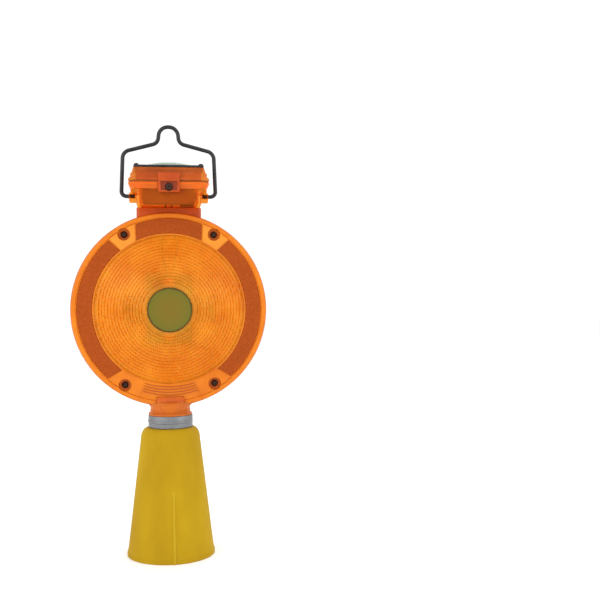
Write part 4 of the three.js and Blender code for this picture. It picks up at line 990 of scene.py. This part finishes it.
def reflector(name, shape):
    """A reflector with a plain edge round a field of small pyramids."""
    back = REFLECTOR_RECESS - FACE_Y - GAP
    edges = [REFLECTOR_IN, REFLECTOR_IN + 0.25, REFLECTOR_IN + FIELD_INSET]
    width = REFLECTOR_OUT - REFLECTOR_IN - 2 * FIELD_INSET
    radii = edges + [edges[2] + width * i / 10 for i in range(1, 10)]
    radii += [REFLECTOR_OUT - FIELD_INSET, REFLECTOR_OUT - 0.25, REFLECTOR_OUT]
    n_around = 2 * round(math.radians(shape[1] - shape[0]) * REFLECTOR_IN / PYRAMID_PITCH)
    last_row = len(radii) - 1

    def lift(i, j):
        if i in (0, last_row) or j in (0, n_around):
            return 0.25
        if i < 3 or i > last_row - 3:
            return 0.0
        return 0.45 if (i + j) % 2 else 0.0

    bm = bmesh.new()
    front = []
    for i, row in enumerate(sector(*shape, 0, n_around, radii)):
        row_verts = []
        for j, (r, a) in enumerate(row):
            place = (r * math.cos(a), back - REFLECTOR_T + lift(i, j), DISC_Z + r * math.sin(a))
            row_verts.append(bm.verts.new(place))
        front.append(row_verts)
    for low, high in zip(front, front[1:]):
        for j in range(n_around):
            bm.faces.new((low[j], low[j + 1], high[j + 1], high[j]))
    border = front[0] + [row[-1] for row in front[1:-1]]
    border += front[-1][::-1] + [row[0] for row in front[-2:0:-1]]
    rear = [bm.verts.new((v.co.x, back, v.co.z)) for v in border]
    bm.faces.new(rear)
    for quad in zip(border, border[1:] + border[:1], rear[1:] + rear[:1], rear):
        bm.faces.new(quad)
    return finish_mesh(name, bm, REFLECTOR, sharp=12)


def screw_pads(name, spans, material, holes):
    """Raised pads between the reflectors, open over the screws where they have holes."""
    pads = []
    for shape in spans:
        pad = sector_plate("pad", shape, 0.6, PAD_BACK, PAD_FACE, 24)
        for screw in CASE_SCREWS if holes else []:
            cut(pad, rod("y", POCKET_R, PAD_FACE - 1, PAD_BACK + 1, (screw.mid.x, screw.mid.z), 64))
        pads.append(bake(soften(pad, 0.3, angle=50)))
    return merge(name, pads, material)


def border_lines(name):
    """Plain raised lines along the border, between the two lower pads."""
    lines = []
    for r in LINE_RADII:
        rows = sector(*LINE_SPAN, 0, 0, 0, 48, [r - LINE_HALF_W, r + LINE_HALF_W])
        lines.append(bake(soften(flat_plate("line", rows, PAD_BACK, PAD_FACE), 0.15, 1, 50)))
    return merge(name, lines, AMBER_LINE)


def centre_cap(name):
    face, base = CAP.lo.y, CAP.hi.y
    plate_r = CAP.half.x - 1.0
    profile = [
        (0, face + 0.25),
        (plate_r - 1.2, face + 0.1, 0.5),
        (plate_r - 0.4, face, 0.3),
        (plate_r, face + 0.5, 0.2),
        (plate_r, face + 1.0, 0.2),
        (CAP.half.x, face + 1.0, 0.2),
        (CAP.half.x, base, 0.2),
        (0, base),
    ]
    return lens_turn(name, profile, OLIVE, 128)


def lamp_faces():
    for side, rear in (("front", False), ("rear", True)):
        lamp_body(f"{side}_body", f"{side}_shell", rear)
        faces = [
            lens(f"{side}_lens"),
            screw_pads(f"{side}_upper_pads", UPPER_PADS, AMBER_PAD, not rear),
            screw_pads(f"{side}_lower_pads", LOWER_PADS, AMBER_BODY, not rear),
            border_lines(f"{side}_border_lines"),
        ]
        for piece in faces:
            install(piece, "amber_plastic", rear=rear)
        for place, shape in REFLECTORS.items():
            prisms = reflector(f"{side}_prisms_{place}", shape)
            install(prisms, "reflector", f"{side}_reflector_{place}", rear=rear)
        install(centre_cap(f"{side}_cap"), "olive_cap", f"{side}_centre_cap", rear=rear)


def case_screws():
    for i, box in enumerate(CASE_SCREWS, 1):
        screw = cross_screw(f"case_bolt_{i}", box, **CASE_HEAD)
        install(screw, "dark_screw", f"case_screw_{i}")


# ---------------------------------------------------------------- light engine


def leds():
    for node in ("led_front_upper", "led_front_lower", "led_rear_upper", "led_rear_lower"):
        box = Box(node)
        rear = "rear" in node
        tip, foot = (-box.hi.y, -box.lo.y) if rear else (box.lo.y, box.hi.y)
        r = box.half.x - 0.7
        dome = [(r * math.sin(t), tip + r - r * math.cos(t)) for t in (k * math.pi / 16 for k in range(9))]
        collar = [(r, foot - 1.1), (r + 0.7, foot - 1.0), (r + 0.7, foot), (0, foot)]
        bulb = revolve(f"{node}_bulb", dome + collar, LED, "y", 40, at=(0, box.mid.z), sharp=40)
        install(bulb, "led", node, rear=rear)
    dress("led_carrier", WHITE, 0.5)
    dress("led_board", BOARD, 0.1)
    dress("carrier_screw_left", DARK_STEEL)
    dress("carrier_screw_right", DARK_STEEL)
    dress("lamp_lead_red", RED_LEAD)
    dress("lamp_lead_black", BLACK_LEAD)


# ---------------------------------------------------------------- battery case and lid

CASE_HALF_W, CASE_HALF_D = 30.0, 33.0
FLANGE_HALF_W, FLANGE_HALF_D, FLANGE_CORNER = 37.6, 35.4, 7.0
CASE_TOP = GASKET.lo.z - GAP
CASE_LOW = UPPER_NECK_TOP + GAP
LID_LOW = GASKET.hi.z + GAP
TAB_HALF_W, TAB_LOW, TAB_T = 10.0, 346.4, 3.2
TAB_FACE = LID.half.y
SINK_HALF_W, SINK_LOW, SINK_HIGH = 7.8, 348.0, 356.6
LID_STEP_Z = 364.6
LUG_HALF_D, LUG_LOW, LUG_HIGH, LUG_IN = 6.0, 339.5, 348.8, 29.0
TONGUE_HALF_W, TONGUE_HALF_D, TONGUE_WALL = 27.9, 6.2, 2.6
GROOVE_LOW, GROOVE_HIGH, GROOVE_DEPTH = 327.0, 330.0, 1.2  # round the tongue
LUG_WINDOW_X = 34.6
FLANGE_BASE = 349.6  # where the case starts to widen
FLANGE_LOW = 349.8  # from here up it is painted redder
NOTCH_LOW = 348.6
POST_R, POST_T, POST_INSET, POST_BORE_R = 3.6, 4.6, 1.0, 1.7  # for the lid screws to bite into
HEAD_SEAT_R, SHANK_WAY_R = 4.1, 1.9  # of the lid screws, through a tab
LUG_BORE_R, LUG_WINDOW_R = 2.2, 2.3
LID_HALF_W, LID_HALF_D = 35.6, 33.0
LID_ROOM_W, LID_ROOM_D = 30.4, 27.6
SWITCH_BORE_R = SWITCH.half.x - 0.8


def case_shell():
    inner_w, inner_d = CASE_HALF_W - WALL, CASE_HALF_D - WALL
    floor = CASE_LOW + WALL
    profile = [
        (CASE_HALF_W - 6, CASE_HALF_D - 6, CASE_LOW),
        (CASE_HALF_W, CASE_HALF_D, CASE_LOW, 1.4),
        (CASE_HALF_W, CASE_HALF_D, FLANGE_BASE, 0.8),
        (FLANGE_HALF_W - 2.8, CASE_HALF_D + 0.4, FLANGE_BASE, 0.8),
        (FLANGE_HALF_W - 1.4, FLANGE_HALF_D - 1, FLANGE_BASE + 2.8, 1.2),
        (FLANGE_HALF_W, FLANGE_HALF_D, FLANGE_BASE + 4.8, 1.0),
        (FLANGE_HALF_W, FLANGE_HALF_D, CASE_TOP, 0.5),
        (inner_w, inner_d, CASE_TOP, 0.4),
        (inner_w, inner_d, floor, 1.0),
        (inner_w - 6, inner_d - 6, floor),
    ]
    return box_sweep("case_shell", profile, FLANGE_CORNER, AMBER_CASE)


def case_tongue():
    """The hollow plug that goes down into the upper neck."""
    w, d, low, top = TONGUE_HALF_W, TONGUE_HALF_D, CASE.lo.z, CASE_LOW + 1
    profile = [
        (w, d, low, 0.4),
        (w, d, GROOVE_LOW, 0.1),
        (w - GROOVE_DEPTH, d - GROOVE_DEPTH, GROOVE_LOW, 0.1),
        (w - GROOVE_DEPTH, d - GROOVE_DEPTH, GROOVE_HIGH, 0.1),
        (w, d, GROOVE_HIGH, 0.1),
        (w, d, top),
        (w - TONGUE_WALL, d - TONGUE_WALL, top),
        (w - TONGUE_WALL, d - TONGUE_WALL, low, 0.4),
    ]
    return box_sweep("tongue", profile, 1.5, closed=True)


def case_lug(case, side):
    """A lug with its web, the bore for the handle's end, and a window into the bore."""
    near, far = side * LUG_IN, side * CASE.half.x
    web_high = (far - side * 1.4, LUG_HALF_D - 1, CASE_TOP - 1)
    join(case, block("web", (near, 1 - LUG_HALF_D, LUG_HIGH - 1), web_high, bevel=0.5))
    lug_low, lug_high = (near, -LUG_HALF_D, LUG_LOW), (far, LUG_HALF_D, LUG_HIGH)
    join(case, block("lug", lug_low, lug_high, bevel=1.4, segments=3))
    cut(case, rod("x", LUG_BORE_R, side * (HANDLE_END_X - GAP), far + side, (0, HANDLE_PIVOT_Z)))
    cut(case, rod("y", LUG_WINDOW_R, -LUG_HALF_D - 1, 0, (side * LUG_WINDOW_X, HANDLE_PIVOT_Z)))


def case_tab_seat(case, side):
    """A post for a lid screw, and the notch over it for the lid's tab."""
    post_face = side * (CASE_HALF_D - POST_INSET)
    join(case, rod("y", POST_R, post_face - side * POST_T, post_face, (0, LID_SCREW.mid.z + 0.5)))
    notch_low = (-TAB_HALF_W - GAP, side * CASE_HALF_D, NOTCH_LOW)
    cut(case, sharp_box(notch_low, (TAB_HALF_W + GAP, side * 40, CASE_TOP + 1)))


def battery_case():
    case = join(case_shell(), case_tongue())
    way_w, way_d = TONGUE_HALF_W - TONGUE_WALL, TONGUE_HALF_D - TONGUE_WALL
    cut(case, sharp_box(*centred(way_w, way_d, CASE_LOW - 1, CASE_LOW + WALL + 3)))
    for side in (-1, 1):
        case_lug(case, side)
        case_tab_seat(case, side)
    cut(case, rod("y", POST_BORE_R, -40, 40, (0, LID_SCREW.mid.z)))
    cut(case, rod("y", SWITCH_BORE_R, 20, 40, (SWITCH.mid.x, NUT.mid.z), 48))
    repaint(case, AMBER_FLANGE, lambda p: p.z > FLANGE_LOW)
    soften(case, 0.25, angle=55)
    install(case, "amber_plastic", "battery_case")


def in_sink(p):
    """Whether a point lies in the sunk field round a lid screw, which is painted darkest as shade in the
    recess.
    """
    across = abs(p.x) < SINK_HALF_W and SINK_LOW < p.z < SINK_HIGH
    return across and TAB_FACE - TAB_T < abs(p.y) < TAB_FACE - 0.2


def lid_tab(lid, side):
    """A tab down over the case, with its sunk field, a seat for the lid screw and the screw's way."""
    face, clear, at = side * TAB_FACE, side * (TAB_FACE + 2), (0, LID_SCREW.mid.z)
    tab_low = (-TAB_HALF_W, face - side * TAB_T, TAB_LOW)
    join(lid, block("tab", tab_low, (TAB_HALF_W, face, LID_STEP_Z), bevel=0.9, segments=3))
    sink_low = (-SINK_HALF_W, face - side * 1.5, SINK_LOW)
    cut(lid, block("sink", sink_low, (SINK_HALF_W, clear, SINK_HIGH), bevel=0.6))
    cut(lid, rod("y", HEAD_SEAT_R, face - side * 2.2, clear, at, 48))
    cut(lid, rod("y", SHANK_WAY_R, face - side * 6, clear, at))


def head_lid():
    w, d, top = LID_HALF_W, LID_HALF_D, LID.hi.z
    ceiling, recess = top - 4.0, PANEL.lo.z - GAP
    recess_w, recess_d = PANEL.half.x + GAP, PANEL.half.y + GAP
    profile = [
        (LID_ROOM_W - 8, LID_ROOM_D - 8, ceiling),
        (LID_ROOM_W, LID_ROOM_D, ceiling, 1.0),
        (LID_ROOM_W, LID_ROOM_D, LID_LOW, 0.4),
        (FLANGE_HALF_W, FLANGE_HALF_D, LID_LOW, 0.5),
        (FLANGE_HALF_W, FLANGE_HALF_D, LID_LOW + 1.8, 1.2),
        (w, d, LID_LOW + 3.6, 1.0),
        (w, d, LID_STEP_Z, 0.8),
        (w - 1.2, d - 1.4, LID_STEP_Z + 0.2, 0.3),
        (w - 2.8, d - 3, top, 1.0),
        (recess_w, recess_d, top, 0.2),
        (recess_w, recess_d, recess, 0.2),
        (PANEL.half.x - 6, PANEL.half.y - 6, recess),
    ]
    lid = box_sweep("lid_shell", profile, FLANGE_CORNER, AMBER_LID)
    lid_tab(lid, -1)
    lid_tab(lid, 1)
    cut(lid, rod("z", 3, top - 8, top + 1, (0, 4)))
    # the sunk fields painted dark as shade in their recesses
    repaint(lid, AMBER_SHADE, in_sink)
    repaint(lid, AMBER_DARK_RED, lambda p: abs(p.y) > TAB_FACE - 0.2 and p.z < LID_STEP_Z)
    soften(lid, 0.25, angle=55)
    install(lid, "amber_plastic", "head_lid")


def lid_gasket():
    low, high = GASKET.lo.z, GASKET.hi.z
    inner_w, inner_d = GASKET.half.x - 4, GASKET.half.y - 4
    outer_w, outer_d = GASKET.half.x + 1.3, GASKET.half.y + 1.9
    profile = [(inner_w, inner_d, low, 0.2), (outer_w, outer_d, low, 0.4)]
    profile += [(outer_w, outer_d, high, 0.4), (inner_w, inner_d, high, 0.2)]
    ring = box_sweep("gasket_ring", profile, 6, GASKET_RUBBER, closed=True)
    install(ring, "rubber", "lid_gasket")


def lid_screws():
    for side in ("front", "rear"):
        node = f"lid_screw_{side}"
        screw = cross_screw(f"{node}_bolt", LID_SCREW, **LID_HEAD)
        install(screw, "dark_screw", node, rear=side == "rear")


# ---------------------------------------------------------------- solar window


def panel_bezel():
    low, top = BEZEL.lo.z, BEZEL.hi.z
    ledge = low + 1.3
    inner_w, inner_d = 26.7, 23.9
    rebate_w, rebate_d = WINDOW.half.x + GAP, WINDOW.half.y + GAP
    profile = [
        (rebate_w, rebate_d, low, 0.1),
        (BEZEL.half.x, BEZEL.half.y, low, 0.4),
        (BEZEL.half.x, BEZEL.half.y, top, 0.9),
        (inner_w, inner_d, top, 0.5),
        (inner_w, inner_d, ledge, 0.1),
        (rebate_w, rebate_d, ledge, 0.1),
    ]
    bezel = box_sweep("bezel_frame", profile, 5, BLACK, closed=True)
    for box in BEZEL_SCREWS:
        at = (box.mid.x, box.mid.y)
        join(bezel, rod("z", 2.7, low + 0.4, top + 0.1, at, 40, 0.3))
        cut(bezel, rod("z", 1.4, low - 1, top + 1, at))
    install(bezel, "black_plastic", "panel_bezel")


def bezel_screws():
    for i, box in enumerate(BEZEL_SCREWS, 1):
        x, y, top = box.mid.x, box.mid.y, box.hi.z
        seat = top - 1.2
        head = [(0, top), (1.4, top, 0.6), (2.2, seat + 0.4, 0.4), (2.2, seat, 0.1)]
        screw = threaded(f"bezel_bolt_{i}", head, 1.0, seat, box.lo.z, "z", (x, y), BLACK_SCREW, 0.7)
        cut(screw, sharp_box((x - 1.6, y - 0.3, top - 0.5), (x + 1.6, y + 0.3, top + 1)))
        install(screw, "black_screw", f"bezel_screw_{i}")


def window_dome():
    low, base = WINDOW.lo.z, WINDOW.lo.z + 1.0
    edge_w, edge_d = WINDOW.half.x - 1.8, WINDOW.half.y - 1.8
    thickness = 1.2

    def arc(inset):
        rows = []
        for k in range(13):
            share = math.cos(k / 12 * 0.97 * math.pi / 2)
            height = (WINDOW.hi.z - base) * (1 - share**2.6) - inset
            rows.append((share * (edge_w - inset), share * (edge_d - inset), base + max(height, 0)))
        return rows

    def corner(half_d):
        return 5 + (WINDOW.half.y - half_d) * 0.6

    profile = arc(thickness)[::-1] + [(edge_w - thickness, edge_d - thickness, low)]
    profile += [(WINDOW.half.x, WINDOW.half.y, low), (WINDOW.half.x, WINDOW.half.y, base, 0.3)] + arc(0)
    dome = box_sweep("window_dome", profile, corner, WINDOW_CLEAR, steps=8, sharp=40)
    install(dome, "clear_window", "panel_window")


def solar_cells():
    """The panel's base, a grid of wafers on it, and two busbars along each wafer."""
    columns, rows, margin, gap = 4, 2, 1.5, 0.3
    wide, deep = (PANEL.half.x * 2 - 2 * margin) / columns, (PANEL.half.y * 2 - 2 * margin) / rows
    top = PANEL.hi.z
    base = block("panel_base", PANEL.lo, (PANEL.hi.x, PANEL.hi.y, top - 0.3), SILICON, bevel=0.2)
    install(base, "solar_cells", "solar_panel")
    wafers, bars = [], []
    for i in range(columns):
        for j in range(rows):
            x, y = PANEL.lo.x + margin + i * wide, PANEL.lo.y + margin + j * deep
            far = (x + wide - gap, y + deep - gap, top - 0.12)
            wafers.append(block("wafer", (x + gap, y + gap, top - 0.32), far, bevel=0.08))
            for mid in (x + wide * 0.3, x + wide * 0.7):
                far = (mid + 0.25, y + deep - 0.6, top)
                bars.append(sharp_box((mid - 0.25, y + 0.6, top - 0.14), far))
    install(merge("solar_wafers", wafers, SILICON), "solar_cells")
    install(merge("solar_busbars", bars, NICKEL), "solar_cells")


# ---------------------------------------------------------------- inside the head and its switch


def battery_cells():
    for side, y_sign in (("front", 1), ("rear", -1)):
        node = f"battery_cell_{side}"
        box = Box(node)
        nub_h, nub_r, r = 0.9, 2.7, box.half.z
        half = (box.hi.x - box.lo.x - nub_h) / 2
        profile = [
            (0, -half),
            (r - 1.0, -half, 0.2),
            (r, -half + 0.5, 0.5),
            (r, half - 0.8, 0.6),
            (r - 1.2, half, 0.3),
            (nub_r, half, 0.1),
            (nub_r, half + nub_h, 0.3),
            (0, half + nub_h),
        ]
        cell = revolve(f"{node}_can", profile, CELL, "x", 48, at=(y_sign * box.mid.y, box.mid.z))
        install(cell, "battery_cell", node, rear=side == "rear")


def power_switch():
    low, high, bore = NUT.lo.y, NUT.hi.y, SWITCH_BORE_R
    corner_r = max(NUT.half.x, NUT.half.z)
    profile = [
        (bore, low),
        (corner_r, low),
        (corner_r, high - 0.5),
        (corner_r - 0.7, high),
        (bore + 0.3, high),
        (bore, high - 0.3),
    ]
    at = (SWITCH.mid.x, NUT.mid.z)
    nut = hex_nut("switch_hex_nut", profile, (NUT.half.x, NUT.half.z), "y", 96, at)
    install(nut, "nickel", "switch_nut")
    r, face = BUTTON.half.x, BUTTON.hi.y
    shape = [
        (0, BUTTON.lo.y),
        (r, BUTTON.lo.y, 0.2),
        (r, face - 1.2, 0.9),
        (r - 1.6, face, 0.5),
        (r - 2.4, face, 0.4),
        (r - 2.8, face - 0.4, 0.4),
        (0, face - 0.5),
    ]
    at = (BUTTON.mid.x, BUTTON.mid.z)
    button = revolve("button_cap", shape, BUTTON_RUBBER, "y", 64, at=at, sharp=50)
    install(button, "button_rubber", "power_button", body="button")
    dress("switch_body", BLACK, 0.3)


def head_insides():
    battery_cells()
    power_switch()
    for node in ("battery_link", "battery_contact_front", "battery_contact_rear"):
        dress(node, NICKEL)
    dress("charge_board", BOARD, 0.15)
    dress("panel_lead_red", RED_LEAD)
    dress("panel_lead_black", BLACK_LEAD)


# ---------------------------------------------------------------- handle

HANDLE_PIVOT_Z = HANDLE.lo.z + 1.9
HANDLE_END_X = 31.9
WIRE_R = 1.9
HANDLE_BENDS = [(45.1, 0, 4.8), (43.4, 42.6, 8), (10.2, 51.3, 7), (8.4, 67, 9.2)]


def wire_ring(spot, along, radius):
    """A ring of points round the wire, whose path lies in the XZ plane."""
    aside = Vector((-along.y, along.x))
    ring = []
    for a in turns(24):
        flat = spot + aside * (radius * math.cos(a))
        ring.append((flat.x, radius * math.sin(a), flat.y))
    return ring


def carry_handle():
    right = [(x, HANDLE_PIVOT_Z + z, r) for x, z, r in HANDLE_BENDS]
    left = [(-x, z, r) for x, z, r in reversed(right)]
    start, end = (HANDLE_END_X, HANDLE_PIVOT_Z), (-HANDLE_END_X, HANDLE_PIVOT_Z)
    path = [Vector(p) for p in rounded([start] + right + left + [end], steps=12)]
    ahead, behind = path[1:] + path[-1:], path[:1] + path[:-1]
    ways = [(a - b).normalized() for a, b in zip(ahead, behind)]
    tips = [wire_ring(path[i], ways[i], WIRE_R - 0.5) for i in (0, -1)]
    path[0] += ways[0] * 0.4
    path[-1] -= ways[-1] * 0.4
    rings = [wire_ring(spot, way, WIRE_R) for spot, way in zip(path, ways)]
    piece = finish_mesh("wire_handle", skin([tips[0], *rings, tips[1]], closed=False), WIRE)
    install(piece, "black_wire", "carry_handle", body="handle")


# ---------------------------------------------------------------- stage, light and camera

LAMP_SIZE, LAMP_TARGET = 1.2, Vector((0, 0, 0.22))
CAMERA_AIM, CAMERA_PITCH, CAMERA_ROLL = math.radians(8.39), math.radians(-0.94), math.radians(-0.3)


def turned(obj, way, roll=0.0):
    """Points an object's -Z along a way, with its Y up, and puts it in the scene."""
    obj.rotation_mode = "QUATERNION"
    obj.rotation_quaternion = way.to_track_quat("-Z", "Y") @ Quaternion((0, 0, 1), roll)
    bpy.context.scene.collection.objects.link(obj)


def stage():
    bm = bmesh.new()
    bmesh.ops.create_grid(bm, x_segments=8, y_segments=8, size=6000)
    floor = finish_mesh("floor", bm, FLOOR)
    world = bpy.data.worlds.new("studio")
    world.use_nodes = True
    sky = world.node_tree.nodes["Background"].inputs
    sky["Color"].default_value = (1, 1, 1, 1)
    sky["Strength"].default_value = 1.06
    bpy.context.scene.world = world
    lamps = [("left", (-1.3, -0.9, 0.9), 12), ("right", (1.3, -0.9, 0.8), 9), ("rear", (0.3, 1.5, 1.4), 8)]
    for name, place, watts in lamps:
        light = bpy.data.lights.new(name, "AREA")
        light.size = LAMP_SIZE
        light.energy = watts
        obj = bpy.data.objects.new(name, light)
        obj.location = place
        turned(obj, LAMP_TARGET - Vector(place))


def camera():
    data = bpy.data.cameras.new("camera")
    data.sensor_width = 36
    data.lens = 55.2
    data.clip_end = 50
    obj = bpy.data.objects.new("camera", data)
    obj.location = (-0.005, -0.9, 0.2595)
    flat = math.cos(CAMERA_PITCH)
    way = Vector((math.sin(CAMERA_AIM) * flat, math.cos(CAMERA_AIM) * flat, math.sin(CAMERA_PITCH)))
    turned(obj, way, CAMERA_ROLL)
    bpy.context.scene.camera = obj
    bpy.context.scene.view_settings.view_transform = "Standard"


cone_sleeve()
clamp_band()
clamp_fasteners()
neck_socket()
lamp_faces()
case_screws()
leds()
battery_case()
head_lid()
lid_gasket()
lid_screws()
panel_bezel()
bezel_screws()
window_dome()
solar_cells()
head_insides()
carry_handle()
stage()
camera()


def corners(bounds):
    return [[round(value, 5) for value in corner] for corner in bounds]
